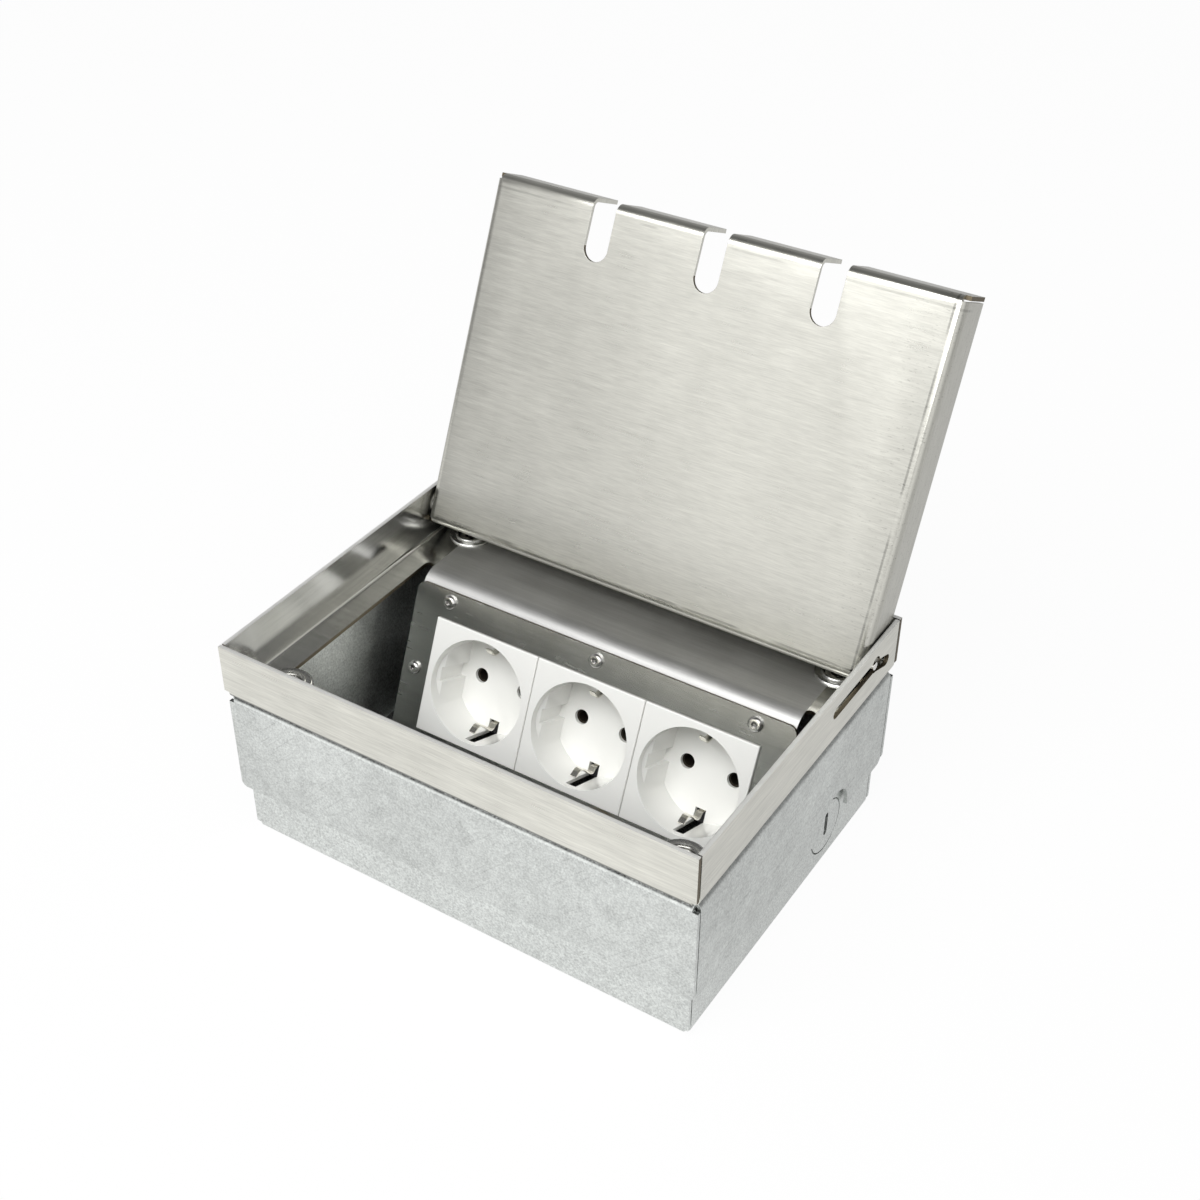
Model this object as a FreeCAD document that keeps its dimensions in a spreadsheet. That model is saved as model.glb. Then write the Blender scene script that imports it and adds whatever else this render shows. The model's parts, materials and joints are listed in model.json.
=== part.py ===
import FreeCAD, Part
import math
import os
import Sketcher

# Floor socket box with three sockets on a sloped plate under a hinged lid tray.
# Millimetres. X runs along the long front, Y to the back and Z up. The origin is
# the middle of the underside of the lower box. The lid stands open.

Vector = FreeCAD.Vector

# Driving sizes
driving = {
    # folded sheet
    "sheet_gauge": 1.5,
    "seam_gap": 0.5,
    "corner_relief": 2.0,
    # upper frame
    "frame_width": 184.0,
    "frame_depth": 138.0,
    "frame_wall": 21.5,
    "frame_bend": 3.0,
    "ledge_side": 10.8,
    "ledge_front": 17.0,
    # lower box, inside the skirt
    "box_side_gap": 1.0,
    "box_end_gap": 0.7,
    "box_top_gap": 6.5,
    "box_bend": 3.0,
    "fixing_inset_x": 29.5,
    "fixing_inset_y": 10.5,
    "fixing_radius": 2.75,
    "knockout_radius": 10.7,
    "knockout_from_back": 37.1,
    "knockout_centre_z": 17.2,
    "knockout_groove": 0.5,
    "knockout_web": 0.5,
    "pry_slot_length": 10.0,
    "pry_slot_radius": 1.2,
    "pry_slot_rise": 1.0,
    "rear_knockout_inset": 44.5,
    # height skirt
    "skirt_inset": 1.3,
    "skirt_base": 20.4,
    "skirt_bend": 2.5,
    "skirt_side_flange": 9.5,
    "skirt_end_flange": 15.7,
    "skirt_corner_radius": 2.5,
    "arch_clearance": 5.1,
    # levelling cups, screws and pillars
    "cup_inset_x": 14.5,
    "cup_inset_y": 15.0,
    "cup_ear_radius": 9.0,
    "cup_flange_radius": 8.5,
    "cup_flange_thickness": 0.7,
    "cup_ring_radius": 6.5,
    "cup_ring_rise": 0.75,
    "cup_body_radius": 6.1,
    "cup_depth": 7.3,
    "cup_floor": 1.5,
    "screw_head_radius": 5.0,
    "screw_head_height": 6.0,
    "screw_radius": 3.0,
    "screw_tip_gap": 3.35,
    "screw_key": 5.0,
    "clip_thickness": 0.7,
    "clip_radius": 5.2,
    "clip_fit": 0.05,
    "pillar_radius": 5.0,
    "pillar_height": 38.5,
    "pillar_blind": 3.5,
    "head_clearance": 0.25,
    "shank_clearance": 0.3,
    "thread_clearance": 0.1,
    "seat_clearance": 0.15,
    # sloped plate
    "plate_slope": 67.1,
    "socket_floor_gap": 0.45,
    "plate_from_back": 51.1,
    "plate_top_drop": 11.95,
    "plate_gauge": 1.5,
    "plate_inset": 13.3,
    "plate_top_margin": 10.7,
    "plate_low_margin": 5.0,
    "plate_corner_radius": 3.5,
    "window_clearance": 0.15,
    "roll_radius": 7.5,
    "roll_run_out": 1.0,
    "flange_inset": 14.5,
    "flange_lip": 0.8,
    "leg_width": 8.0,
    "leg_length": 28.5,
    "plate_screw_inset": 15.0,
    "plate_screw_rise": 6.7,
    "side_screw_drop": 22.6,
    "plate_screw_radius": 1.5,
    "plate_screw_head": 2.8,
    "side_screw_head": 2.6,
    "plate_screw_head_height": 1.65,
    "plate_screw_length": 8.0,
    "plate_screw_key": 2.0,
    "plate_hole_room": 0.1,
    "nut_radius": 2.5,
    "nut_height": 3.2,
    # socket modules
    "module_size": 45.0,
    "module_side_room": 24.0,
    "module_gap": 0.3,
    "module_proud": 0.8,
    "module_rim": 3.0,
    "module_edge_radius": 0.5,
    "well_margin": 2.75,
    "well_depth": 17.8,
    "well_wall": 1.5,
    "well_floor": 1.7,
    "guide_foot": 3.45,
    "guide_head": 1.95,
    "guide_bevel": 1.5,
    "guide_set_back": 2.5,
    "guide_width": 25.2,
    "guide_groove_width": 5.7,
    "guide_groove_wall": 1.15,
    "pin_pitch": 19.0,
    "pin_hole_radius": 2.8,
    "hook_width": 12.0,
    "hook_reach": 0.7,
    "hook_height": 1.3,
    "hook_root": 0.5,
    "clip_slot_width": 4.2,
    "clip_slot_reach": 4.75,
    "clip_slot_front": 2.2,
    "clip_slot_wall": 1.0,
    "rear_disc": 3.0,
    "rear_gap": 5.0,
    "rear_shoulder": 9.0,
    "rear_depth": 14.0,
    "strap_width": 2.6,
    "strap_gauge": 0.7,
    "strap_side_room": 0.2,
    "strap_seat_room": 0.3,
    "strap_foot": 3.55,
    "strap_dip": 1.75,
    "strap_dip_drop": 15.6,
    "strap_hump": 5.45,
    "strap_hump_drop": 6.0,
    "strap_tip": 3.05,
    "strap_tip_drop": 2.7,
    "contact_radius": 3.4,
    "contact_bore": 2.3,
    "contact_length": 11.0,
    "contact_end_room": 0.5,
    "wire_entry": 3.2,
    "wire_entry_depth": 6.0,
    "housing_clearance": 0.1,
    # lid tray and its pins
    "lid_side_gap": 0.5,
    "lid_end_room": 4.0,
    "lid_wall": 16.9,
    "lid_bend": 3.5,
    "lid_open_angle": 114.0,
    "pin_radius": 1.5,
    "pin_from_back": 6.1,
    "pin_from_base": 6.46,
    "pin_head_radius": 2.6,
    "pin_head_thickness": 1.0,
    "pin_head_gap": 0.2,
    "pin_open_from_back": 19.0,
    "pin_open_rise": 11.5,
    "pin_shut_from_back": 10.1,
    "pin_shut_rise": 8.3,
    "pin_fit": 0.1,
    "keyhole_from_back": 48.3,
    "keyhole_radius": 2.2,
    "keyhole_rise": 11.8,
    "bump_radius": 3.1,
    "bump_rise": 0.7,
    "cable_slot_pitch": 44.0,
    "cable_slot_radius": 4.75,
    "cable_slot_depth": 21.4,
    # earth stud
    "stud_x": 0.0,
    "stud_from_front": 25.5,
    "stud_radius": 2.0,
    "stud_engaged_radius": 1.77,
    "stud_foot": 0.2,
    "stud_run_out": 0.5,
    "stud_free_length": 7.0,
    "stud_nut_width": 7.0,
    "stud_nut_height": 3.2,
    "stud_washer_radius": 4.5,
    "stud_washer_thickness": 0.8,
    "bore_fit": 0.05,
}


# A size is a number that also carries its sheet expression
class Size(float):
    def __new__(cls, value, text=None):
        size = float.__new__(cls, value)
        size.text = text or "%.9g" % value
        return size

    def __add__(self, other):
        return Size(float(self) + float(other), "(%s + %s)" % (self.text, textOf(other)))

    def __radd__(self, other):
        return Size(float(other) + float(self), "(%s + %s)" % (textOf(other), self.text))

    def __sub__(self, other):
        return Size(float(self) - float(other), "(%s - %s)" % (self.text, textOf(other)))

    def __rsub__(self, other):
        return Size(float(other) - float(self), "(%s - %s)" % (textOf(other), self.text))

    def __mul__(self, other):
        return Size(float(self) * float(other), "(%s * %s)" % (self.text, textOf(other)))

    def __rmul__(self, other):
        return Size(float(other) * float(self), "(%s * %s)" % (textOf(other), self.text))

    def __truediv__(self, other):
        return Size(float(self) / float(other), "(%s / %s)" % (self.text, textOf(other)))

    def __neg__(self):
        return Size(-float(self), "(0 - %s)" % self.text)


def textOf(value):
    return value.text if isinstance(value, Size) else "%.9g" % value


def sine(angle):
    return Size(math.sin(math.radians(angle)), "sin(%s)" % textOf(angle))


def cosine(angle):
    return Size(math.cos(math.radians(angle)), "cos(%s)" % textOf(angle))


doc = FreeCAD.newDocument("FloorSocketBox")
sheet = doc.addObject("Spreadsheet::Sheet", "Sizes")
for row, (alias, value) in enumerate(driving.items(), start=1):
    sheet.set("A%d" % row, alias)
    sheet.set("B%d" % row, str(value))
    sheet.setAlias("B%d" % row, alias)
doc.recompute()


class Sizes:
    pass


for alias, value in driving.items():
    setattr(Sizes, alias, Size(value, "Sizes." + alias))

nodes = []

# How far a cut runs past the face that it opens
overcut = 1.0


# Helpers for bodies, sketches and features
def bind(thing, name, value):
    if isinstance(value, Size):
        thing.setExpression(name, value.text)


def newBody(label):
    body = doc.addObject("PartDesign::Body", label)
    body.Label = label
    return body


def newSketch(body, name, plane="XY_Plane", lift=0.0):
    sketch = body.newObject("Sketcher::SketchObject", body.Label + "_" + name)
    support = [item for item in body.Origin.OriginFeatures if item.Role == plane][0]
    sketch.AttachmentSupport = [(support, "")]
    sketch.MapMode = "FlatFace"
    sketch.AttachmentOffset = FreeCAD.Placement(Vector(0, 0, float(lift)), FreeCAD.Rotation())
    bind(sketch, ".AttachmentOffset.Base.z", lift)
    return sketch


def fixPoint(sketch, item, place, x, y):
    for kind, value in (("DistanceX", x), ("DistanceY", y)):
        index = sketch.addConstraint(
            Sketcher.Constraint(kind, -1, 1, item, place, float(value)))
        bind(sketch, "Constraints[%d]" % index, value)


def addPolygon(sketch, points):
    first = sketch.GeometryCount
    count = len(points)
    flat = [Vector(float(x), float(y), 0) for x, y in points]
    sketch.addGeometry([Part.LineSegment(flat[i], flat[(i + 1) % count]) for i in range(count)])
    for i, (x, y) in enumerate(points):
        following = first + (i + 1) % count
        sketch.addConstraint(Sketcher.Constraint("Coincident", first + i, 2, following, 1))
        fixPoint(sketch, first + i, 1, x, y)


def addRectangle(sketch, left, right, low, high):
    addPolygon(sketch, [(left, low), (right, low), (right, high), (left, high)])


def addCircle(sketch, x, y, radius):
    item = sketch.addGeometry(
        Part.Circle(Vector(float(x), float(y), 0), Vector(0, 0, 1), float(radius)))
    fixPoint(sketch, item, 3, x, y)
    index = sketch.addConstraint(Sketcher.Constraint("Radius", item, float(radius)))
    bind(sketch, "Constraints[%d]" % index, radius)


# A slot is two half circles and their common tangents
def addSlot(sketch, start, end, radius):
    head = Vector(float(start[0]), float(start[1]), 0)
    tail = Vector(float(end[0]), float(end[1]), 0)
    angle = math.atan2(tail.y - head.y, tail.x - head.x)
    side = Vector(-math.sin(angle), math.cos(angle), 0) * float(radius)
    quarter = math.pi / 2
    up = Vector(0, 0, 1)
    first = sketch.GeometryCount
    sketch.addGeometry([
        Part.ArcOfCircle(Part.Circle(head, up, float(radius)), angle + quarter, angle + 3 * quarter),
        Part.LineSegment(head - side, tail - side),
        Part.ArcOfCircle(Part.Circle(tail, up, float(radius)), angle - quarter, angle + quarter),
        Part.LineSegment(tail + side, head + side),
    ])
    for a, aEnd, b, bEnd in ((0, 2, 1, 1), (1, 2, 2, 1), (2, 2, 3, 1), (3, 2, 0, 1)):
        sketch.addConstraint(
            Sketcher.Constraint("Tangent", first + a, aEnd, first + b, bEnd))
    fixPoint(sketch, first, 3, *start)
    fixPoint(sketch, first + 2, 3, *end)
    index = sketch.addConstraint(Sketcher.Constraint("Radius", first, float(radius)))
    bind(sketch, "Constraints[%d]" % index, radius)


def addHexagon(sketch, x, y, acrossFlats):
    reach = acrossFlats / math.sqrt(3.0)
    corners = []
    for corner in range(6):
        turn = math.radians(60.0 * corner)
        corners.append((x + reach * math.cos(turn), y + reach * math.sin(turn)))
    addPolygon(sketch, corners)


def addPad(body, sketch, length, back=False, middle=False):
    pad = body.newObject("PartDesign::Pad", sketch.Name + "_pad")
    pad.Profile = sketch
    pad.Length = float(length)
    bind(pad, "Length", length)
    pad.Reversed = back
    pad.Midplane = middle
    body.Tip = pad
    doc.recompute()
    return pad


# A pocket cuts against the sketch's normal, or along it when forward is set
def addPocket(body, sketch, length=None, forward=False, middle=False):
    before = body.Shape.Volume
    pocket = body.newObject("PartDesign::Pocket", sketch.Name + "_pocket")
    pocket.Profile = sketch
    if length is None:
        pocket.Type = "ThroughAll"
    else:
        pocket.Length = float(length)
        bind(pocket, "Length", length)
    pocket.Reversed = forward
    pocket.Midplane = middle
    body.Tip = pocket
    doc.recompute()
    if not body.Shape.Volume < before - 1e-6:
        raise RuntimeError(pocket.Name + " cuts nothing")
    return pocket


def addRevolution(body, sketch, axis="V_Axis"):
    turned = body.newObject("PartDesign::Revolution", sketch.Name + "_turned")
    turned.Profile = sketch
    turned.ReferenceAxis = (sketch, [axis])
    turned.Angle = 360.0
    body.Tip = turned
    doc.recompute()
    return turned


def addFillet(body, name, radius, wanted):
    base = body.Tip
    names = []
    for index, edge in enumerate(base.Shape.Edges, start=1):
        if wanted(edge.BoundBox):
            names.append("Edge%d" % index)
    if not names:
        raise RuntimeError(name + " finds no edge")
    fillet = body.newObject("PartDesign::Fillet", body.Label + "_" + name)
    fillet.Base = (base, names)
    fillet.Radius = float(radius)
    bind(fillet, "Radius", radius)
    body.Tip = fillet
    doc.recompute()
    return fillet


def near(value, target):
    return abs(float(value) - float(target)) < 0.01


def along(box, low, high, target):
    return near(getattr(box, low), target) and near(getattr(box, high), target)


# Keeps a finished sub-part as a node of its own
def keep(part, label=None):
    if label:
        part.Label = label
    nodes.append(part)
    return part


# Several equal pieces held as one node
def keepGroup(label, shapes):
    group = doc.addObject("Part::Feature", label)
    group.Label = label
    group.Shape = Part.makeCompound(shapes)
    return keep(group)


def moved(shape, x=0.0, y=0.0, z=0.0):
    copy = shape.copy()
    copy.translate(Vector(float(x), float(y), float(z)))
    return copy


# A tray folded from sheet: a floor and four walls with open corner seams.
# The front and back walls run the full width and the side walls stop short of them.
def foldTray(body, left, right, front, back, floor, wall, bend, down=False):
    gauge = Sizes.sheet_gauge
    sense = -1.0 if down else 1.0
    blank = newSketch(body, "blank", lift=floor)
    addRectangle(blank, left, right, front, back)
    addPad(body, blank, wall, back=down)
    inside = newSketch(body, "inside", lift=floor + gauge * sense)
    addRectangle(inside, left + gauge, right - gauge, front + gauge, back - gauge)
    addPocket(body, inside, wall, forward=not down)

    def onOutline(box, level, sides):
        if not along(box, "ZMin", "ZMax", level):
            return False
        spans = (("XMin", "XMax", sides[0]), ("XMin", "XMax", sides[1]),
                 ("YMin", "YMax", sides[2]), ("YMin", "YMax", sides[3]))
        return any(along(box, low, high, value) for low, high, value in spans)

    addFillet(body, "outer_bend", bend,
              lambda box: onOutline(box, floor, (left, right, front, back)))
    inner = (left + gauge, right - gauge, front + gauge, back - gauge)
    addFillet(body, "inner_bend", bend - gauge,
              lambda box: onOutline(box, floor + gauge * sense, inner))
    cutSeams(body, left, right, front, back, floor, wall, bend, down)


def cutSeams(body, left, right, front, back, floor, wall, bend, down=False):
    gauge = Sizes.sheet_gauge
    seam = Sizes.seam_gap
    relief = Sizes.corner_relief
    sense = -1.0 if down else 1.0
    seams = newSketch(body, "seams", lift=floor + bend * sense)
    reliefs = newSketch(body, "reliefs", lift=floor + bend * sense)
    for outer, turn in ((left, 1.0), (right, -1.0)):
        for end, step in ((front, 1.0), (back, -1.0)):
            across = sorted((outer - overcut * turn, outer + gauge * turn))
            length = sorted((end + gauge * step, end + (gauge + seam) * step))
            addRectangle(seams, across[0], across[1], length[0], length[1])
            across = sorted((outer - overcut * turn, outer + relief * turn))
            length = sorted((end - overcut * step, end + relief * step))
            addRectangle(reliefs, across[0], across[1], length[0], length[1])
    addPocket(body, seams, wall, forward=not down)
    addPocket(body, reliefs, bend + overcut, forward=down)


S = Sizes
gauge = S.sheet_gauge
halfFrame = S.frame_width / 2
backEdge = S.frame_depth / 2

# Up the slope of the socket plate, and out of its face
slopeUp = (cosine(S.plate_slope), sine(S.plate_slope))
slopeOut = (-sine(S.plate_slope), cosine(S.plate_slope))

# Well of a socket module
wellRadius = S.module_size / 2 - S.well_margin
barrelRadius = wellRadius + S.well_wall
rearFace = -(S.well_depth + S.well_floor)

# The ledge stands as high as the sloped sockets need above the lower box's floor
socketFoot = -(S.module_size / 2 + barrelRadius)
socketRear = rearFace - S.housing_clearance - S.rear_disc
socketReach = S.plate_top_drop - slopeUp[1] * socketFoot - slopeOut[1] * socketRear
ledgeTop = gauge + S.socket_floor_gap + socketReach
ledgeBase = ledgeTop - gauge

# The skirt hangs inside the frame's outline, and the box and the lid fit inside their walls
skirtDepth = S.frame_depth - S.skirt_inset * 2
boxWidth = S.frame_width - (gauge + S.box_side_gap) * 2
boxDepth = skirtDepth - (gauge + S.box_end_gap) * 2
boxWall = ledgeBase - S.box_top_gap
lidWidth = S.frame_width - (gauge + S.lid_side_gap) * 2
lidDepth = S.frame_depth - gauge * 2 - S.lid_end_room
plateHalf = halfFrame - S.plate_inset
flangeHalf = halfFrame - S.flange_inset
moduleCount = int((S.frame_width - S.module_side_room * 2) / S.module_size)

cupX = halfFrame - S.cup_inset_x
cupY = backEdge - S.cup_inset_y
cupPlaces = [(x, y) for x in (-cupX, cupX) for y in (-cupY, cupY)]
frontCups = [(x, -cupY) for x in (-cupX, cupX)]
cupHoleRadius = S.cup_body_radius + S.bore_fit
studY = S.stud_from_front - boxDepth / 2

pinOpen = (backEdge - S.pin_open_from_back, ledgeTop + S.pin_open_rise)
pinShut = (backEdge - S.pin_shut_from_back, ledgeTop + S.pin_shut_rise)
plateTopPoint = (backEdge - S.plate_from_back, ledgeTop - S.plate_top_drop)


# A point given up the slope and out of the plate's face, as Y and Z
def onSlope(up, out):
    y = plateTopPoint[0] + slopeUp[0] * up + slopeOut[0] * out
    z = plateTopPoint[1] + slopeUp[1] * up + slopeOut[1] * out
    return y, z


def slopePlacement(x=0.0, up=0.0, out=0.0):
    y, z = onSlope(up, out)
    turn = FreeCAD.Rotation(Vector(1, 0, 0), float(S.plate_slope))
    return FreeCAD.Placement(Vector(float(x), float(y), float(z)), turn)


# Lower box, cast into the floor
def knockoutPlaces():
    side = boxDepth / 2 - S.knockout_from_back
    rear = boxWidth / 2 - S.rear_knockout_inset
    return side, rear


def makeLowerBox():
    body = newBody("lower_box")
    halfWidth = boxWidth / 2
    halfDepth = boxDepth / 2
    foldTray(body, -halfWidth, halfWidth, -halfDepth, halfDepth, 0.0, boxWall, S.box_bend)
    holes = newSketch(body, "fixing_holes", lift=gauge)
    fixingX = halfWidth - S.fixing_inset_x
    fixingY = halfDepth - S.fixing_inset_y
    for x in (-fixingX, fixingX):
        for y in (-fixingY, fixingY):
            addCircle(holes, x, y, S.fixing_radius)
    addCircle(holes, S.stud_x, studY, S.stud_engaged_radius + S.bore_fit)
    addPocket(body, holes, gauge + overcut)
    centreZ = S.knockout_centre_z
    side, rear = knockoutPlaces()
    pryCentre = centreZ + S.pry_slot_rise
    pryHalf = S.pry_slot_length / 2 - S.pry_slot_radius
    pryTop = pryCentre + pryHalf
    pryLow = pryCentre - pryHalf
    grooveDepth = gauge - S.knockout_web
    for name, lift, forward in (("right_knockout", halfWidth, False), ("left_knockout", -halfWidth, True)):
        ring = newSketch(body, name, "YZ_Plane", lift)
        addCircle(ring, side, centreZ, S.knockout_radius)
        addCircle(ring, side, centreZ, S.knockout_radius - S.knockout_groove)
        addPocket(body, ring, grooveDepth, forward=forward)
        pry = newSketch(body, name + "_pry", "YZ_Plane", lift)
        addSlot(pry, (side, pryLow), (side, pryTop), S.pry_slot_radius)
        addPocket(body, pry, gauge + overcut, forward=forward)
    for name, x in (("rear_left", -rear), ("rear_right", rear)):
        ring = newSketch(body, name, "XZ_Plane", -halfDepth)
        addCircle(ring, x, centreZ, S.knockout_radius)
        addCircle(ring, x, centreZ, S.knockout_radius - S.knockout_groove)
        addPocket(body, ring, grooveDepth, forward=True)
        pry = newSketch(body, name + "_pry", "XZ_Plane", -halfDepth)
        addSlot(pry, (x, pryLow), (x, pryTop), S.pry_slot_radius)
        addPocket(body, pry, gauge + overcut, forward=True)
    keep(body)


def makePillars():
    top = gauge + S.pillar_height
    bore = S.screw_radius + S.thread_clearance
    body = newBody("pillar_master")
    profile = newSketch(body, "profile", "XZ_Plane")
    floor = gauge
    addPolygon(profile, [(0.0, floor), (S.pillar_radius, floor), (S.pillar_radius, top),
                         (bore, top), (bore, floor + S.pillar_blind), (0.0, floor + S.pillar_blind)])
    addRevolution(body, profile)
    keepGroup("levelling_pillars", [moved(body.Shape, x, y) for x, y in cupPlaces])


# The engaged thread is drawn at its pitch radius, and the free end at its full radius
def makeEarthStud():
    bore = S.stud_engaged_radius + S.bore_fit
    washerLow = gauge + S.stud_nut_height
    upperNut = washerLow + S.stud_washer_thickness
    freeLow = upperNut + S.stud_nut_height + S.stud_run_out
    freeTop = freeLow + S.stud_free_length
    stud = newBody("earth_stud")
    profile = newSketch(stud, "profile", "XZ_Plane")
    addPolygon(profile, [(0.0, S.stud_foot), (S.stud_engaged_radius, S.stud_foot),
                         (S.stud_engaged_radius, freeLow), (S.stud_radius, freeLow),
                         (S.stud_radius, freeTop), (0.0, freeTop)])
    addRevolution(stud, profile)
    place(stud, S.stud_x, studY, Size(0.0))
    keep(stud)
    nuts = []
    for name, level in (("lower_stud_nut", gauge), ("upper_stud_nut", upperNut)):
        nut = newBody(name)
        outline = newSketch(nut, "outline", lift=level)
        addHexagon(outline, S.stud_x, studY, S.stud_nut_width)
        addPad(nut, outline, S.stud_nut_height)
        hole = newSketch(nut, "hole", lift=level)
        addCircle(hole, S.stud_x, studY, bore)
        addPocket(nut, hole, middle=True)
        nuts.append(nut.Shape.copy())
    keepGroup("earth_nuts", nuts)
    washer = newBody("earth_washer")
    ring = newSketch(washer, "ring", lift=washerLow)
    addCircle(ring, S.stud_x, studY, S.stud_washer_radius)
    addCircle(ring, S.stud_x, studY, bore)
    addPad(washer, ring, S.stud_washer_thickness)
    keep(washer)


def place(thing, x, y, z):
    thing.Placement = FreeCAD.Placement(Vector(float(x), float(y), float(z)), FreeCAD.Rotation())
    for axis, value in (("x", x), ("y", y), ("z", z)):
        bind(thing, ".Placement.Base." + axis, value)


# Round ears that carry the cups where a window's edge would cut into them
def earSketch(body, places):
    ears = newSketch(body, "cup_ears", lift=ledgeBase)
    for x, y in places:
        addCircle(ears, x, y, S.cup_ear_radius)
    return ears


# Height skirt, hung under the frame's ledge
def makeSkirt():
    body = newBody("height_skirt")
    halfDepth = skirtDepth / 2
    wall = ledgeBase - S.skirt_base
    foldTray(body, -halfFrame, halfFrame, -halfDepth, halfDepth, ledgeBase, wall,
             S.skirt_bend, down=True)
    window = newSketch(body, "window", lift=ledgeBase)
    halfOpen = halfFrame - S.skirt_side_flange
    endOpen = halfDepth - S.skirt_end_flange
    addRectangle(window, -halfOpen, halfOpen, -endOpen, endOpen)
    addPocket(body, window, gauge)
    addPad(body, earSketch(body, cupPlaces), gauge, back=True)
    holes = newSketch(body, "cup_holes", lift=ledgeBase)
    for x, y in cupPlaces:
        addCircle(holes, x, y, cupHoleRadius)
    addPocket(body, holes, gauge)
    archRadius = S.knockout_radius
    archZ = S.knockout_centre_z + S.arch_clearance
    side, rear = knockoutPlaces()
    for name, plane, centre, middle in (("side_arches", "YZ_Plane", side, True),
                                        ("rear_left_arch", "XZ_Plane", -rear, False),
                                        ("rear_right_arch", "XZ_Plane", rear, False)):
        arch = newSketch(body, name, plane)
        addSlot(arch, (centre, S.skirt_base - archRadius), (centre, archZ), archRadius)
        addPocket(body, arch, middle=middle)
    corner = S.skirt_base
    frontEnd = halfDepth
    sideEnd = halfDepth - gauge - S.seam_gap

    def lowerCorner(box):
        if not along(box, "ZMin", "ZMax", corner):
            return False
        frontTip = abs(abs(box.Center.x) - halfFrame) < 0.01 and near(box.YLength, gauge)
        sideTip = abs(abs(box.Center.y) - sideEnd) < 0.01 and near(box.XLength, gauge)
        return frontTip or sideTip

    addFillet(body, "lower_corners", S.skirt_corner_radius, lowerCorner)
    keep(body)


# Upper frame with its rolled back edge, flange legs and keyhole slots
def makeFrame():
    body = newBody("top_frame")
    rollFlange(body)
    ledgeAndWalls(body)
    addPad(body, earSketch(body, frontCups), gauge)
    keyholes(body)
    holes = newSketch(body, "cup_holes", lift=ledgeTop)
    for x, y in cupPlaces:
        addCircle(holes, x, y, cupHoleRadius)
    addPocket(body, holes, gauge)
    keep(body)


# Where the flange's front face would meet the ledge's top, and the bend's reach
flangeFace = -S.plate_gauge
flangeRise = (S.plate_top_drop - slopeOut[1] * flangeFace) / slopeUp[1]
foldY = onSlope(flangeRise, flangeFace)[0]
rollReach = S.roll_radius * math.tan(math.radians(float(S.plate_slope) / 2))
rollStart = foldY + rollReach + S.roll_run_out


def rollFlange(body):
    back = flangeFace - gauge
    lowerRise = (S.plate_top_drop - gauge - slopeOut[1] * back) / slopeUp[1]
    foot = -S.leg_length
    profile = newSketch(body, "roll_profile", "YZ_Plane")
    addPolygon(profile, [(rollStart, ledgeTop), onSlope(flangeRise, flangeFace),
                         onSlope(foot, flangeFace), onSlope(foot, back),
                         onSlope(lowerRise, back), (rollStart, ledgeBase)])
    addPad(body, profile, flangeHalf * 2, middle=True)
    innerY = onSlope(lowerRise, back)[0]
    addFillet(body, "roll_outside", S.roll_radius,
              lambda box: along(box, "ZMin", "ZMax", ledgeTop) and along(box, "YMin", "YMax", foldY))
    addFillet(body, "roll_inside", S.roll_radius - gauge,
              lambda box: along(box, "ZMin", "ZMax", ledgeBase) and along(box, "YMin", "YMax", innerY))
    window = newSketch(body, "leg_window")
    window.AttachmentOffset = slopePlacement(out=flangeFace)
    halfGap = flangeHalf - S.leg_width
    addRectangle(window, -halfGap, halfGap, foot - overcut, S.flange_lip)
    addPocket(body, window, gauge + overcut)
    holes = newSketch(body, "screw_holes")
    holes.AttachmentOffset = slopePlacement(out=flangeFace)
    for x, up in plateScrewPlaces():
        addCircle(holes, x, up, S.plate_screw_radius + S.plate_hole_room)
    addPocket(body, holes, gauge + overcut)


def plateScrewPlaces():
    outer = plateHalf - S.plate_screw_inset
    legMiddle = flangeHalf - S.leg_width / 2
    top = [(x, S.plate_screw_rise) for x in (-outer, 0.0, outer)]
    side = [(x, -S.side_screw_drop) for x in (-legMiddle, legMiddle)]
    return top + side


def ledgeAndWalls(body):
    halfDepth = backEdge
    ledge = newSketch(body, "ledge", lift=ledgeBase)
    addRectangle(ledge, -halfFrame, halfFrame, -halfDepth, halfDepth)
    addOpening(ledge, float(halfFrame - S.ledge_side), float(flangeHalf),
               float(S.ledge_front - halfDepth), float(rollStart))
    addPad(body, ledge, gauge)
    walls = newSketch(body, "walls", lift=ledgeBase)
    addRectangle(walls, -halfFrame, halfFrame, -halfDepth, halfDepth)
    addRectangle(walls, gauge - halfFrame, halfFrame - gauge, gauge - halfDepth, halfDepth - gauge)
    addPad(body, walls, S.frame_wall)

    def onSides(box, level, halfWidth, halfLength):
        if not along(box, "ZMin", "ZMax", level):
            return False
        sideways = box.XLength < 0.01 and near(abs(box.Center.x), halfWidth)
        lengthways = box.YLength < 0.01 and near(abs(box.Center.y), halfLength)
        return sideways or lengthways

    addFillet(body, "outer_bend", S.frame_bend,
              lambda box: onSides(box, ledgeBase, halfFrame, halfDepth))
    addFillet(body, "inner_bend", S.frame_bend - gauge,
              lambda box: onSides(box, ledgeTop, halfFrame - gauge, halfDepth - gauge))
    cutSeams(body, -halfFrame, halfFrame, -halfDepth, halfDepth, ledgeBase, S.frame_wall,
             S.frame_bend)


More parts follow.
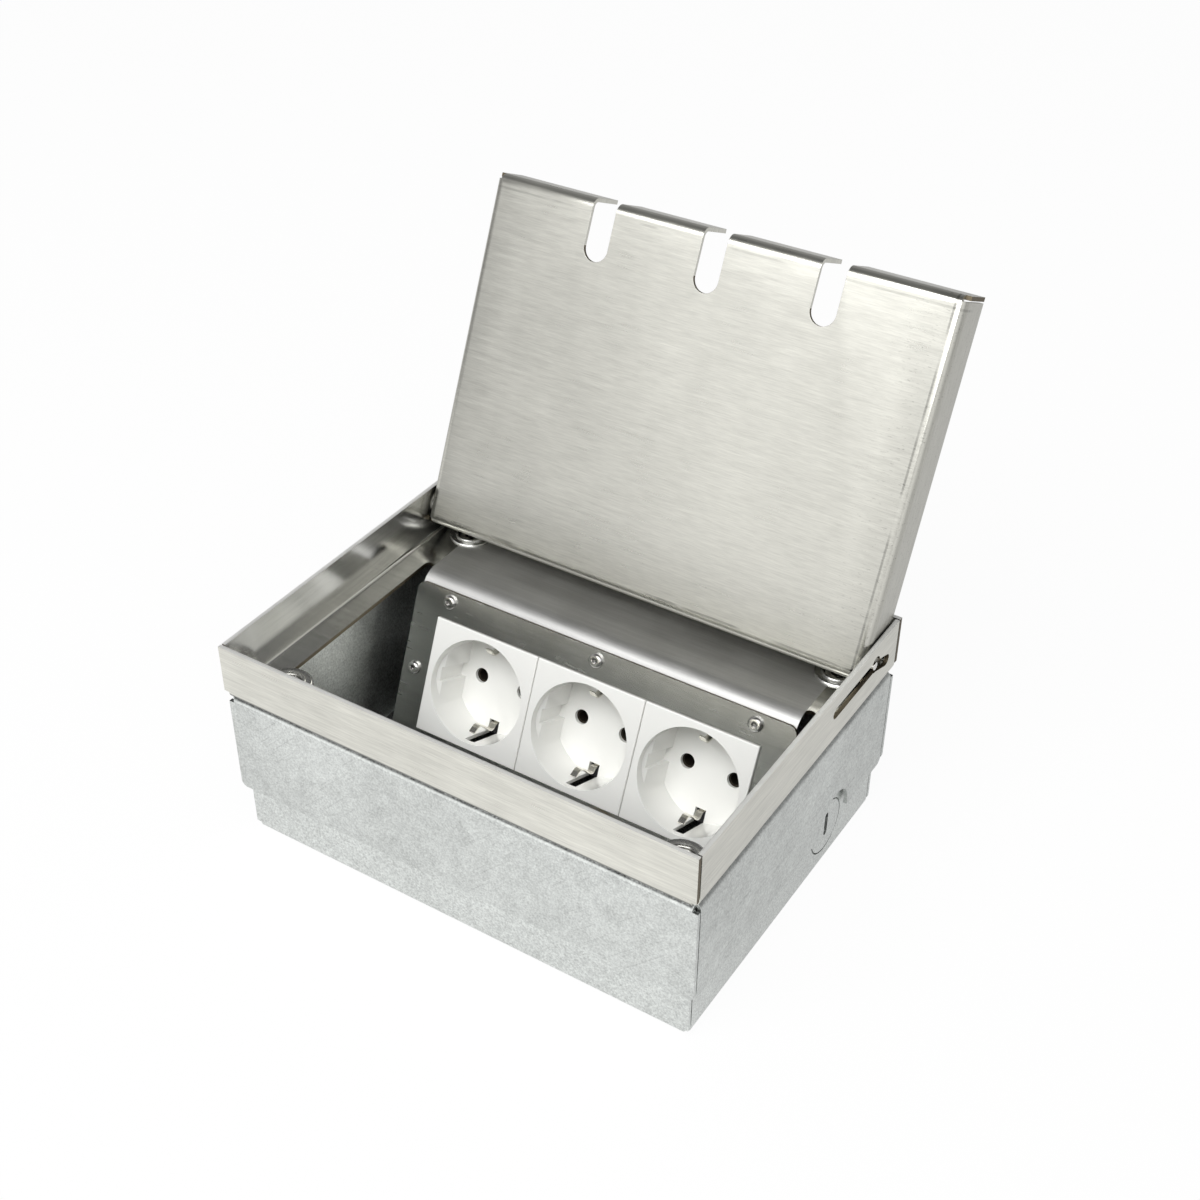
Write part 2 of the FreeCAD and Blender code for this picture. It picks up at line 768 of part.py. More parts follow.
# The ledge's opening: straight front and sides, and a round-ended relief at each end of the roll
def addOpening(sketch, halfOpen, halfRoll, front, back):
    radius = (halfOpen - halfRoll) / 2
    reliefY = back - radius
    middle = halfRoll + radius
    up = Vector(0, 0, 1)
    right = Part.ArcOfCircle(Part.Circle(Vector(middle, reliefY, 0), up, radius), 0, math.pi)
    left = Part.ArcOfCircle(Part.Circle(Vector(-middle, reliefY, 0), up, radius), 0, math.pi)
    path = [(-halfOpen, front), (halfOpen, front), (halfOpen, reliefY)]
    second = [(halfRoll, reliefY), (halfRoll, back), (-halfRoll, back), (-halfRoll, reliefY)]
    third = [(-halfOpen, reliefY), (-halfOpen, front)]
    for run in (path, second, third):
        for start, end in zip(run, run[1:]):
            sketch.addGeometry(Part.LineSegment(Vector(*start, 0), Vector(*end, 0)))
    sketch.addGeometry([right, left])


# The long run forward is in the right wall alone
def keyholes(body):
    line = ledgeTop + S.keyhole_rise
    main = newSketch(body, "keyhole_main", "YZ_Plane")
    addSlot(main, (backEdge - S.keyhole_from_back, line), (pinOpen[0], line), S.keyhole_radius)
    addPocket(body, main, forward=True)
    bump = newSketch(body, "keyhole_bump", "YZ_Plane")
    addCircle(bump, pinOpen[0], pinOpen[1] + S.bump_rise, S.bump_radius)
    addPocket(body, bump, middle=True)
    tail = newSketch(body, "keyhole_tail", "YZ_Plane")
    addSlot(tail, pinOpen, pinShut, S.keyhole_radius)
    addPocket(body, tail, middle=True)


# Levelling cups riveted through the ledge and the skirt, each holding a screw head
cupTop = ledgeTop + S.cup_flange_thickness + S.cup_ring_rise
cupFloorTop = ledgeTop - S.cup_depth + S.cup_floor
headLow = cupFloorTop + S.seat_clearance


def makeCups():
    bore = S.screw_head_radius + S.head_clearance
    hole = S.screw_radius + S.shank_clearance
    flangeTop = ledgeTop + S.cup_flange_thickness
    low = ledgeTop - S.cup_depth
    body = newBody("cup_master")
    profile = newSketch(body, "profile", "XZ_Plane")
    addPolygon(profile, [(hole, low), (S.cup_body_radius, low), (S.cup_body_radius, ledgeTop),
                         (S.cup_flange_radius, ledgeTop), (S.cup_flange_radius, flangeTop),
                         (S.cup_ring_radius, flangeTop), (S.cup_ring_radius, cupTop),
                         (bore, cupTop), (bore, cupFloorTop), (hole, cupFloorTop)])
    addRevolution(body, profile)
    keepGroup("levelling_cups", [moved(body.Shape, x, y) for x, y in cupPlaces])


# Each screw is held in its cup by a push-on washer on its plain shank
def makeScrews():
    clipTop = ledgeTop - S.cup_depth - S.seat_clearance
    headTop = headLow + S.screw_head_height
    tip = gauge + S.pillar_blind + S.screw_tip_gap
    names = ("front_left", "back_left", "front_right", "back_right")
    for name, (x, y) in zip(names, cupPlaces):
        body = newBody("levelling_screw_" + name)
        profile = newSketch(body, "profile", "XZ_Plane")
        addPolygon(profile, [
            (0.0, tip), (S.screw_radius, tip), (S.screw_radius, headLow),
            (S.screw_head_radius, headLow), (S.screw_head_radius, headTop), (0.0, headTop)])
        addRevolution(body, profile)
        key = newSketch(body, "key", lift=headTop)
        addHexagon(key, Size(0.0), Size(0.0), S.screw_key)
        addPocket(body, key, S.screw_key / 2)
        place(body, x, y, Size(0.0))
        keep(body)
        clip = newBody("screw_clip_" + name)
        ring = newSketch(clip, "ring", lift=clipTop - S.clip_thickness)
        addCircle(ring, 0.0, 0.0, S.clip_radius)
        addCircle(ring, 0.0, 0.0, S.screw_radius + S.clip_fit)
        addPad(clip, ring, S.clip_thickness)
        place(clip, x, y, Size(0.0))
        keep(clip)


# Sloped socket plate and its fixings
plateTop = S.plate_top_margin
plateLow = -S.module_size - S.plate_low_margin


def makePlate():
    body = newBody("socket_plate")
    outline = newSketch(body, "outline", lift=-S.plate_gauge)
    addRectangle(outline, -plateHalf, plateHalf, plateLow, plateTop)
    addPad(body, outline, S.plate_gauge)
    addFillet(body, "corners", S.plate_corner_radius,
              lambda box: near(box.ZLength, S.plate_gauge) and near(abs(box.Center.x), plateHalf))
    window = newSketch(body, "window")
    halfWindow = S.module_size * moduleCount / 2 + S.window_clearance
    addRectangle(window, -halfWindow, halfWindow, -S.module_size - S.window_clearance,
                 S.window_clearance)
    addPocket(body, window, S.plate_gauge)
    holes = newSketch(body, "screw_holes")
    for x, up in plateScrewPlaces():
        addCircle(holes, x, up, S.plate_screw_radius + S.plate_hole_room)
    addPocket(body, holes, S.plate_gauge)
    body.Placement = slopePlacement()
    keep(body)


# Button head: height of its straight rim, width of its flat crown and depth of its key, as shares
rimShare = 0.4
crownShare = 0.7
keyShare = 0.7


def makePlateScrew(label, headRadius):
    body = newBody(label)
    radius = S.plate_screw_radius
    rise = S.plate_screw_head_height
    profile = newSketch(body, "profile", "XZ_Plane")
    addPolygon(profile, [(0.0, -S.plate_screw_length), (radius, -S.plate_screw_length),
                         (radius, 0.0), (headRadius, 0.0), (headRadius, rise * rimShare),
                         (headRadius * crownShare, rise), (0.0, rise)])
    addRevolution(body, profile)
    key = newSketch(body, "key", lift=rise)
    addHexagon(key, Size(0.0), Size(0.0), S.plate_screw_key)
    addPocket(body, key, rise * keyShare)
    return body


def onPlate(shape, x, up, out):
    copy = shape.copy()
    copy.Placement = slopePlacement(x, up, out)
    return copy


def makePlateFixings():
    places = plateScrewPlaces()
    top = makePlateScrew("top_screw_master", S.plate_screw_head)
    side = makePlateScrew("side_screw_master", S.side_screw_head)
    keepGroup("plate_top_screws", [onPlate(top.Shape, x, up, 0.0) for x, up in places[:3]])
    keepGroup("plate_side_screws", [onPlate(side.Shape, x, up, 0.0) for x, up in places[3:]])
    nut = newBody("plate_nut_master")
    ring = newSketch(nut, "ring")
    addCircle(ring, 0.0, 0.0, S.nut_radius)
    addCircle(ring, 0.0, 0.0, S.plate_screw_radius + S.bore_fit)
    addPad(nut, ring, S.nut_height, back=True)
    seat = flangeFace - gauge
    keepGroup("plate_nuts", [onPlate(nut.Shape, x, up, seat) for x, up in places])


# Socket modules side by side on the plate
moduleCentres = [(index - (moduleCount - 1) / 2) * S.module_size for index in range(moduleCount)]
moduleMiddle = -S.module_size / 2
halfModule = (S.module_size - S.module_gap) / 2


def makeSocketFront(number, x):
    body = newBody("socket_front_%d" % number)
    face = newSketch(body, "face", lift=S.module_proud)
    addRectangle(face, -halfModule, halfModule, -halfModule, halfModule)
    addPad(body, face, S.module_rim + S.module_proud, back=True)
    addFillet(body, "face_edge", S.module_edge_radius,
              lambda box: along(box, "ZMin", "ZMax", S.module_proud))
    barrel = newSketch(body, "barrel", lift=-S.module_rim)
    addCircle(barrel, 0.0, 0.0, barrelRadius)
    addPad(body, barrel, -S.module_rim - rearFace, back=True)
    well = newSketch(body, "well", lift=S.module_proud)
    addCircle(well, 0.0, 0.0, wellRadius)
    addPocket(body, well, S.module_proud + S.well_depth)
    addGuides(body)
    hooks = newSketch(body, "hooks", lift=-S.module_rim)
    halfHook = S.hook_width / 2
    reach = halfModule + S.hook_reach
    addRectangle(hooks, -halfHook, halfHook, halfModule - S.hook_root, reach)
    addRectangle(hooks, -halfHook, halfHook, -reach, S.hook_root - halfModule)
    addPad(body, hooks, S.hook_height)
    holes = newSketch(body, "pin_holes", lift=-S.well_depth)
    for side in (-S.pin_pitch / 2, S.pin_pitch / 2):
        addCircle(holes, side, 0.0, S.pin_hole_radius)
    addPocket(body, holes, S.well_floor)
    clips = newSketch(body, "clip_slots", lift=-S.clip_slot_front)
    halfSlot = S.clip_slot_width / 2
    slotIn = wellRadius - S.clip_slot_reach
    slotOut = halfModule - S.clip_slot_wall
    addRectangle(clips, -halfSlot, halfSlot, slotIn, slotOut)
    addRectangle(clips, -halfSlot, halfSlot, -slotOut, -slotIn)
    addPocket(body, clips, -rearFace)
    body.Placement = slopePlacement(x, moduleMiddle)
    keep(body)


# Keyed guides at both sides of the well: two wedges with a groove between them
def addGuides(body):
    root = wellRadius + S.well_wall / 2
    shoulder = -(S.guide_set_back + S.guide_bevel)
    wedges = newSketch(body, "guide_wedges", "XZ_Plane")
    for side in (-1.0, 1.0):
        addPolygon(wedges, [
            ((wellRadius - S.guide_foot) * side, -S.well_depth),
            ((wellRadius - S.guide_head) * side, shoulder),
            (wellRadius * side, -S.guide_set_back), (root * side, -S.guide_set_back),
            (root * side, -S.well_depth)])
    addPad(body, wedges, S.guide_width, middle=True)
    grooves = newSketch(body, "guide_grooves", lift=-S.guide_set_back)
    halfGroove = S.guide_groove_width / 2
    grooveIn = wellRadius - S.guide_foot - overcut
    grooveOut = wellRadius - S.guide_groove_wall
    addRectangle(grooves, grooveIn, grooveOut, -halfGroove, halfGroove)
    addRectangle(grooves, -grooveOut, -grooveIn, -halfGroove, halfGroove)
    addPocket(body, grooves, S.well_depth - S.guide_set_back)
    trim = newSketch(body, "barrel_trim", lift=-S.module_rim)
    addCircle(trim, 0.0, 0.0, barrelRadius)
    addCircle(trim, 0.0, 0.0, barrelRadius + S.guide_width / 2)
    addPocket(body, trim, -S.module_rim - rearFace)


def makeSocketBase(number, x):
    body = newBody("socket_base_%d" % number)
    top = rearFace - S.housing_clearance
    disc = newSketch(body, "disc", lift=top)
    addCircle(disc, 0.0, 0.0, barrelRadius)
    addPad(body, disc, S.rear_disc, back=True)
    block = newSketch(body, "block", lift=top - S.rear_disc)
    halfWidth = (S.module_size - S.rear_gap) / 2
    halfHeight = S.module_size / 2 - S.rear_shoulder
    addRectangle(block, -halfWidth, halfWidth, -halfHeight, halfHeight)
    addPad(body, block, S.rear_depth, back=True)
    groove = newSketch(body, "strap_groove", lift=top)
    halfStrap = S.strap_width / 2 + S.strap_side_room
    addRectangle(groove, -halfStrap, halfStrap, -barrelRadius - overcut, barrelRadius + overcut)
    addPocket(body, groove, S.strap_gauge + S.strap_seat_room)
    bores = newSketch(body, "contact_bores", lift=top)
    for side in (-S.pin_pitch / 2, S.pin_pitch / 2):
        addCircle(bores, side, 0.0, S.contact_radius + S.housing_clearance)
    addPocket(body, bores, S.contact_length + S.contact_end_room)
    wires = newSketch(body, "wire_entries", lift=top - S.rear_disc - S.rear_depth)
    halfEntry = S.wire_entry / 2
    for across in (-halfWidth * 2 / 3, halfWidth * 2 / 3):
        for up in (-halfHeight / 2, halfHeight / 2):
            addRectangle(wires, across - halfEntry, across + halfEntry, up - halfEntry, up + halfEntry)
    addPocket(body, wires, S.wire_entry_depth, forward=True)
    body.Placement = slopePlacement(x, moduleMiddle)
    keep(body)


# The outline of a strip of one thickness along a path of points
def stripOutline(path, thickness):
    half = float(thickness) / 2
    left = []
    right = []
    for index, (px, py) in enumerate(path):
        here = Vector(px, py, 0)
        before = Vector(*path[max(index - 1, 0)], 0)
        after = Vector(*path[min(index + 1, len(path) - 1)], 0)
        arriving = (here - before) if index else (after - here)
        leaving = (after - here) if index < len(path) - 1 else arriving
        arriving = Vector(arriving).normalize()
        leaving = Vector(leaving).normalize()
        bisector = (arriving + leaving).normalize()
        normal = Vector(-bisector.y, bisector.x, 0)
        stretch = half / bisector.dot(leaving)
        left.append(here + normal * stretch)
        right.append(here - normal * stretch)
    return [(point.x, point.y) for point in left + right[::-1]]


# Eased points between two turns of a strip, as distance across and level
def easedRun(start, end, steps, sweep=math.pi):
    run = []
    for step in range(1, steps + 1):
        share = step / steps
        eased = (1 - math.cos(sweep * share)) / (1 - math.cos(sweep))
        run.append((start[0] + (end[0] - start[0]) * eased, start[1] + (end[1] - start[1]) * share))
    return run


# A bar behind the well, with an arm through each slot that dips, humps and ends in a lip
def makeStrap(number, x):
    body = newBody("earth_strap_%d" % number)
    bar = float(rearFace - S.housing_clearance * 2 - S.strap_gauge / 2)
    foot = (float(wellRadius - S.strap_foot), float(-S.well_depth))
    dip = (float(wellRadius - S.strap_dip), float(-S.strap_dip_drop))
    hump = (float(wellRadius - S.strap_hump), float(-S.strap_hump_drop))
    tip = (float(wellRadius - S.strap_tip), float(-S.strap_tip_drop))
    side = [(foot[0], bar), foot]
    side += easedRun(foot, dip, 4) + easedRun(dip, hump, 6) + easedRun(hump, tip, 4, math.pi / 2)
    path = [(-across, level) for across, level in side[::-1]] + side
    profile = newSketch(body, "profile", "YZ_Plane")
    addPolygon(profile, stripOutline(path, S.strap_gauge))
    addPad(body, profile, S.strap_width, middle=True)
    body.Placement = slopePlacement(x, moduleMiddle)
    keep(body)


def makeContacts(number, x):
    body = newBody("contact_master_%d" % number)
    tube = newSketch(body, "tube", lift=rearFace - S.housing_clearance * 3)
    addCircle(tube, 0.0, 0.0, S.contact_radius)
    addCircle(tube, 0.0, 0.0, S.contact_bore)
    addPad(body, tube, S.contact_length, back=True)
    places = [x - S.pin_pitch / 2, x + S.pin_pitch / 2]
    keepGroup("pin_contacts_%d" % number,
              [onPlate(body.Shape, across, moduleMiddle, 0.0) for across in places])


# Lid tray, drawn shut about its pin axis and turned open
def makeLid():
    body = newBody("lid_tray")
    halfWidth = lidWidth / 2
    back = S.pin_from_back
    front = S.pin_from_back - lidDepth
    low = -S.pin_from_base
    foldTray(body, -halfWidth, halfWidth, front, back, low, S.lid_wall, S.lid_bend)
    slots = newSketch(body, "cable_slots", lift=low)
    inner = front + S.cable_slot_depth - S.cable_slot_radius
    for index in (-1, 0, 1):
        centre = S.cable_slot_pitch * index
        addSlot(slots, (centre, front - S.cable_slot_radius * 2), (centre, inner), S.cable_slot_radius)
    addPocket(body, slots, S.lid_wall + overcut, forward=True)
    holes = newSketch(body, "pin_holes", "YZ_Plane")
    addCircle(holes, 0.0, 0.0, S.pin_radius + S.pin_fit)
    addPocket(body, holes, middle=True)
    turn = FreeCAD.Rotation(Vector(1, 0, 0), -float(S.lid_open_angle))
    body.Placement = FreeCAD.Placement(Vector(0, float(pinOpen[0]), float(pinOpen[1])), turn)
    keep(body)


def makePins():
    headFace = lidWidth / 2 - gauge - S.pin_head_gap
    headEnd = headFace - S.pin_head_thickness
    body = newBody("pin_master")
    profile = newSketch(body, "profile", "XY_Plane")
    addPolygon(profile, [(headEnd, 0.0), (halfFrame, 0.0), (halfFrame, S.pin_radius),
                         (headFace, S.pin_radius), (headFace, S.pin_head_radius),
                         (headEnd, S.pin_head_radius)])
    addRevolution(body, profile, "H_Axis")
    right = moved(body.Shape, 0.0, *pinOpen)
    keepGroup("lid_pivot_pins", [right, right.mirror(Vector(0, 0, 0), Vector(1, 0, 0))])


makeLowerBox()
makePillars()
makeEarthStud()
makeSkirt()
makeFrame()
makeCups()
makeScrews()
makePlate()
makePlateFixings()
for number, centre in enumerate(moduleCentres, start=1):
    makeSocketFront(number, centre)
    makeSocketBase(number, centre)
    makeStrap(number, centre)
    makeContacts(number, centre)
makeLid()
makePins()
doc.recompute()

for item in doc.Objects:
    if "Invalid" in item.State or "Error" in item.State:
        raise RuntimeError(item.Name + " failed: " + ", ".join(item.State))
for node in nodes:
    if node.Shape.isNull() or not node.Shape.isValid():
        raise RuntimeError(node.Label + " has no valid shape")

os.makedirs("parts", exist_ok=True)
for node in nodes:
    node.Shape.exportStep("parts/%s.step" % node.Label)
    box = node.Shape.BoundBox
    print("%-28s solids %d  volume %9.1f  x %.2f..%.2f  y %.2f..%.2f  z %.2f..%.2f" % (
        node.Label, len(node.Shape.Solids), node.Shape.Volume,
        box.XMin, box.XMax, box.YMin, box.YMax, box.ZMin, box.ZMax))
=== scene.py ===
import json
import math
import bmesh
import bpy
from mathutils import Matrix, Vector


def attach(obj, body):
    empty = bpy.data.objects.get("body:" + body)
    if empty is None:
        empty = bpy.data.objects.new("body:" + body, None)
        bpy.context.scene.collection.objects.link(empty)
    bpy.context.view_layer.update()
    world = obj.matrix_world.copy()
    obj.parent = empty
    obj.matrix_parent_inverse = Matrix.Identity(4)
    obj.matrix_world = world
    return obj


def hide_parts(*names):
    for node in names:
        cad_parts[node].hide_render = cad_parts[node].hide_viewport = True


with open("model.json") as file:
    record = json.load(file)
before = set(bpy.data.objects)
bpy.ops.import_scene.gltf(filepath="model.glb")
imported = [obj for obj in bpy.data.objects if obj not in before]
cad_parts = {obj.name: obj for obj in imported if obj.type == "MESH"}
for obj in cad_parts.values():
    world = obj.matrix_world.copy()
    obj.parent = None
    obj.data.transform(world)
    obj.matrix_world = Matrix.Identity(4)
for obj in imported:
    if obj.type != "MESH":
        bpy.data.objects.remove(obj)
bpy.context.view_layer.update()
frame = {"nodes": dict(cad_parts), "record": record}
scene = bpy.context.scene
mm = 0.001
slotOf = {part["node"]: part["material_slot"] for part in frame["record"]["subparts"]}
print("frame loaded:", len(frame["nodes"]), "nodes")


# Shader maths written as plain expressions
class Flow:
    def __init__(self, finish, socket):
        self.finish = finish
        self.socket = socket

    def __add__(self, other):
        return self.finish.sum("ADD", self, other)

    __radd__ = __add__

    def __sub__(self, other):
        return self.finish.sum("SUBTRACT", self, other)

    def __rsub__(self, other):
        return self.finish.sum("SUBTRACT", other, self)

    def __mul__(self, other):
        return self.finish.sum("MULTIPLY", self, other)

    __rmul__ = __mul__

    def __truediv__(self, other):
        return self.finish.sum("DIVIDE", self, other)

    def __rtruediv__(self, other):
        return self.finish.sum("DIVIDE", other, self)


# How far a normal may lean aside before a surface stops counting as facing along Y
frontalRange = (0.1, 0.35)


# One material or the world, and the nodes in it
class Finish:
    def __init__(self, name, world=False):
        self.owner = bpy.data.worlds.new(name) if world else bpy.data.materials.new(name)
        self.owner.use_nodes = True
        self.tree = self.owner.node_tree
        self.tree.nodes.clear()
        self.coords = None

    def make(self, kind, settings=None, sockets=None):
        node = self.tree.nodes.new(kind)
        for name, value in (settings or {}).items():
            setattr(node, name, value)
        for key, value in (sockets or {}).items():
            if isinstance(value, Flow):
                self.tree.links.new(value.socket, node.inputs[key])
            else:
                node.inputs[key].default_value = value
        return node

    def flow(self, node, key=0):
        return Flow(self, node.outputs[key])

    def sum(self, operation, first, second=0.0):
        return self.flow(self.make("ShaderNodeMath", {"operation": operation}, {0: first, 1: second}))

    def size(self, value):
        return self.sum("ABSOLUTE", value)

    # 0 below low, 1 above high, smooth between
    def ease(self, value, low, high):
        return self.flow(self.make("ShaderNodeMapRange", {"interpolation_type": "SMOOTHSTEP"},
                                   {0: value, 1: low, 2: high}))

    def place(self):
        if self.coords is None:
            self.coords = self.make("ShaderNodeTexCoord")
        return self.flow(self.coords, "Object")

    def normal(self):
        self.place()
        return self.flow(self.coords, "Normal")

    # 1 where a surface faces along Y more than along X
    def frontal(self):
        return 1.0 - self.ease(self.size(self.split(self.normal())[0]), *frontalRange)

    def turned(self, scale=(1, 1, 1), turn=(0, 0, 0), source=None):
        return self.flow(self.make("ShaderNodeMapping", None, {
            "Vector": source or self.place(), "Rotation": turn, "Scale": scale}))

    def split(self, vector):
        node = self.make("ShaderNodeSeparateXYZ", None, {0: vector})
        return [self.flow(node, i) for i in range(3)]

    def vector(self, x, y, z):
        return self.flow(self.make("ShaderNodeCombineXYZ", None, {0: x, 1: y, 2: z}))

    def attribute(self, name):
        return self.flow(self.make("ShaderNodeAttribute", {"attribute_name": name}), "Fac")

    def noise(self, vector, scale, detail=2.0, rough=0.5, twist=0.0):
        return self.flow(self.make("ShaderNodeTexNoise", None, {
            "Vector": vector, "Scale": scale, "Detail": detail, "Roughness": rough, "Distortion": twist}))

    def blend(self, factor, first, second, way="MIX"):
        node = self.make("ShaderNodeMix", {"data_type": "RGBA", "blend_type": way},
                         {0: factor, 6: first, 7: second})
        return self.flow(node, 2)

    def tint(self, colour, value):
        grey = self.make("ShaderNodeCombineColor", None, {0: value, 1: value, 2: value})
        return self.blend(1.0, colour, self.flow(grey), "MULTIPLY")

    def bump(self, height, distance, strength):
        return self.flow(self.make("ShaderNodeBump", None, {
            "Strength": strength, "Distance": distance, "Height": height}))

    def surface(self, sockets):
        shader = self.make("ShaderNodeBsdfPrincipled", None, sockets)
        out = self.make("ShaderNodeOutputMaterial")
        self.tree.links.new(shader.outputs[0], out.inputs[0])
        return self.owner


# Brushed stainless sheet: grain along X on the flat, and across the fold on the side walls
stainless = {
    "colour": (0.70, 0.693, 0.635), "rough": 0.30, "roughSpread": 0.10, "streak": 0.27, "band": 0.20,
    "grainLength": 0.011, "grainWidth": 0.00048, "coarse": 0.27, "cloud": 70.0, "wide": 22.0,
    "wallRange": (0.6, 0.8), "relief": 0.00002, "reliefStrength": 0.5, "markDepth": 2.0,
    "cut": (0.16, 0.135, 0.095), "cutRough": 0.2, "rim": (0.90, 0.90, 0.88), "rimRough": 0.4}

# Inside the frame the sheet keeps its smooth mill finish, in a neutral colour darker than outside, partly
# its own tone and partly painted shade for the dark box it mirrors. The ledge and roll at the back are
# rougher, with a darker colour that is painted shade for the dark reflections there. The front's lower bend
# gets painted shade.
frameInside = {
    "x": 0.0909, "y": 0.0679, "colour": (0.62, 0.62, 0.60), "rough": 0.17, "evened": 0.7,
    "backX": 0.0775, "backY": 0.012, "backShadeColour": (0.49, 0.49, 0.48), "backRough": 0.49,
    "bendRange": (0.1, 0.45), "bendShade": 0.85}


def brushedSteel(name, settings, turn=0.0, marksAndShade=None, inside=None):
    f = Finish(name)
    x, y, z = f.split(f.turned(turn=(turn, 0, 0)))
    aside = f.split(f.turned(turn=(turn, 0, 0), source=f.normal()))[0]
    run = 1.0 / settings["grainLength"]
    across = 1.0 / settings["grainWidth"]
    mixed = f.make("ShaderNodeMix", {"data_type": "VECTOR"}, {
        0: f.ease(f.size(aside), *settings["wallRange"]),
        4: f.vector(x * run, y * across, z * across), 5: f.vector(x * across, y * run, z * across)})
    grainPlace = f.flow(mixed, 1)
    grain = f.noise(grainPlace, 1.0, 3.0, 0.65)
    coarse = f.noise(grainPlace, settings["coarse"])
    cloud = f.noise(f.turned(scale=(1.0, 0.6, 0.6)), settings["cloud"], 3.0, 0.55)
    wide = f.noise(f.turned(scale=(1.0, 0.3, 0.3)), settings["wide"], 1.0)
    streak = settings["streak"]
    spread = settings["roughSpread"]
    shade = 1.0 + (grain - 0.5) * (streak * 2.0) + (coarse - 0.5) * streak
    shade = shade + (cloud - 0.5) * settings["band"] + (wide - 0.5) * settings["band"]
    rough = settings["rough"] + (coarse - 0.5) * spread + (cloud - 0.5) * spread
    height = grain * 0.7 + coarse * 0.3
    colour = (*settings["colour"], 1.0)
    if inside:
        # painted shade on the front's lower bend, where it faces down
        down = f.split(f.normal())[2] * -1.0
        shade = shade * (1.0 - f.ease(down, *inside["bendRange"]) * f.frontal() * inside["bendShade"])
        withinX = f.sum("LESS_THAN", f.size(x), inside["x"])
        withinY = f.sum("LESS_THAN", f.size(y), inside["y"])
        backX = f.sum("LESS_THAN", f.size(x), inside["backX"])
        back = backX * withinY * f.sum("GREATER_THAN", y, inside["backY"])
        inner = withinX * withinY - back
        rough = rough + inner * (inside["rough"] - settings["rough"])
        rough = rough + back * (inside["backRough"] - settings["rough"])
        shade = shade - (inner + back) * (grain - 0.5) * streak
        # darker colours inside and at the back: painted shade, inside partly the sheet's own tone
        colour = f.blend(inner, colour, (*inside["colour"], 1.0))
        colour = f.blend(back, colour, (*inside["backShadeColour"], 1.0))
        height = height * (1.0 - inner * inside["evened"] - back * inside["evened"])
    if marksAndShade:
        line = marksAndShade(f, x, y)
        shade = shade - line
        height = height - line * settings["markDepth"]
    # cut edges keep their brown colour; the frame's upper edge gets a pale painted highlight
    cut = f.attribute("cutEdge")
    rim = f.attribute("rimHighlight")
    paint = f.blend(cut, f.tint(colour, shade), (*settings["cut"], 1.0))
    return f.surface({
        "Base Color": f.blend(rim, paint, (*settings["rim"], 1.0)), "Metallic": 1.0,
        "Roughness": rough + cut * settings["cutRough"] + rim * settings["rimRough"],
        "Normal": f.bump(height, settings["relief"], settings["reliefStrength"])})


# Zinc-coated sheet, with faint handling scratches that rise from left to right. The bend under the frame
# gets a painted highlight line, and painted shade where it turns inwards.
galvanised = {
    "colour": (0.635, 0.655, 0.638), "lift": 1.0, "rough": 0.40, "roughSpread": 0.14,
    "speck": 0.46, "speckSize": 0.0007, "patch": 0.34, "patchScale": 420.0, "cloud": 0.36,
    "cloudScale": 120.0, "wideScale": 24.0, "scratch": 0.13, "scratchWidth": 0.0007,
    "scratchLength": 0.022, "scratchRows": 40.0, "scratchRange": (0.62, 0.71),
    "scratchedRange": (0.46, 0.58), "highlightRange": (0.10, 0.25), "line": 0.25, "turnShadeRange": (0.40, 0.65),
    "relief": 0.00008, "reliefStrength": 0.30}


def galvanisedSteel(name, settings):
    f = Finish(name)
    x, y, z = f.split(f.place())
    speck = f.noise(f.place(), 1.0 / settings["speckSize"], 2.0, 0.6)
    patch = f.noise(f.place(), settings["patchScale"], 3.0, 0.6, 0.6)
    cloud = f.noise(f.place(), settings["cloudScale"], 2.0, 0.55)
    wide = f.noise(f.turned(scale=(1.0, 1.0, 0.6)), settings["wideScale"])
    rising = (x + z) * math.sqrt(0.5)
    crossing = (x - z) * math.sqrt(0.5)
    lines = f.noise(f.vector(rising / settings["scratchLength"], crossing / settings["scratchWidth"],
                             y * settings["scratchRows"]), 1.0, 1.0, 0.4)
    scratch = f.ease(lines, *settings["scratchRange"]) * f.ease(wide, *settings["scratchedRange"])
    shade = settings["lift"] + (speck - 0.5) * (settings["speck"] * 2.0) + (patch - 0.5) * settings["patch"]
    shade = shade + (cloud - 0.5) * settings["cloud"] + (wide - 0.5) * settings["cloud"]
    shade = shade - scratch * settings["scratch"]
    # painted highlight along the bend under the frame, and painted shade where it turns inwards
    up = f.split(f.normal())[2]
    bend = f.ease(up, *settings["highlightRange"]) * settings["line"] - f.ease(up, *settings["turnShadeRange"])
    shade = shade + bend * f.frontal()
    spread = settings["roughSpread"]
    rough = settings["rough"] + (patch - 0.5) * spread + (cloud - 0.5) * spread
    return f.surface({
        "Base Color": f.tint((*settings["colour"], 1.0), shade), "Metallic": 1.0, "Roughness": rough,
        "Normal": f.bump(speck * 0.4 + patch * 0.6 - scratch * 0.5, settings["relief"],
                         settings["reliefStrength"])})


moulded = {
    "colour": (0.935, 0.935, 0.905), "rough": 0.22, "roughSpread": 0.05, "ripple": 90.0, "fine": 2400.0,
    "unevenness": 0.02, "coat": 0.3, "coatRough": 0.06, "relief": 0.00006, "reliefStrength": 0.25}


def glossPlastic(name, settings):
    f = Finish(name)
    ripple = f.noise(f.place(), settings["ripple"])
    fine = f.noise(f.place(), settings["fine"])
    return f.surface({
        "Base Color": f.tint((*settings["colour"], 1.0), 1.0 + (ripple - 0.5) * settings["unevenness"]),
        "Metallic": 0.0, "Roughness": settings["rough"] + (fine - 0.5) * settings["roughSpread"],
        "Coat Weight": settings["coat"], "Coat Roughness": settings["coatRough"],
        "Normal": f.bump(ripple * 0.8 + fine * 0.2, settings["relief"], settings["reliefStrength"])})


polished = {"metal": 1.0, "wear": 0.16, "cloud": 260.0, "fine": 2600.0, "roughSpread": 0.12,
            "hollowShade": 0.75, "relief": 0.00003, "reliefStrength": 0.2}


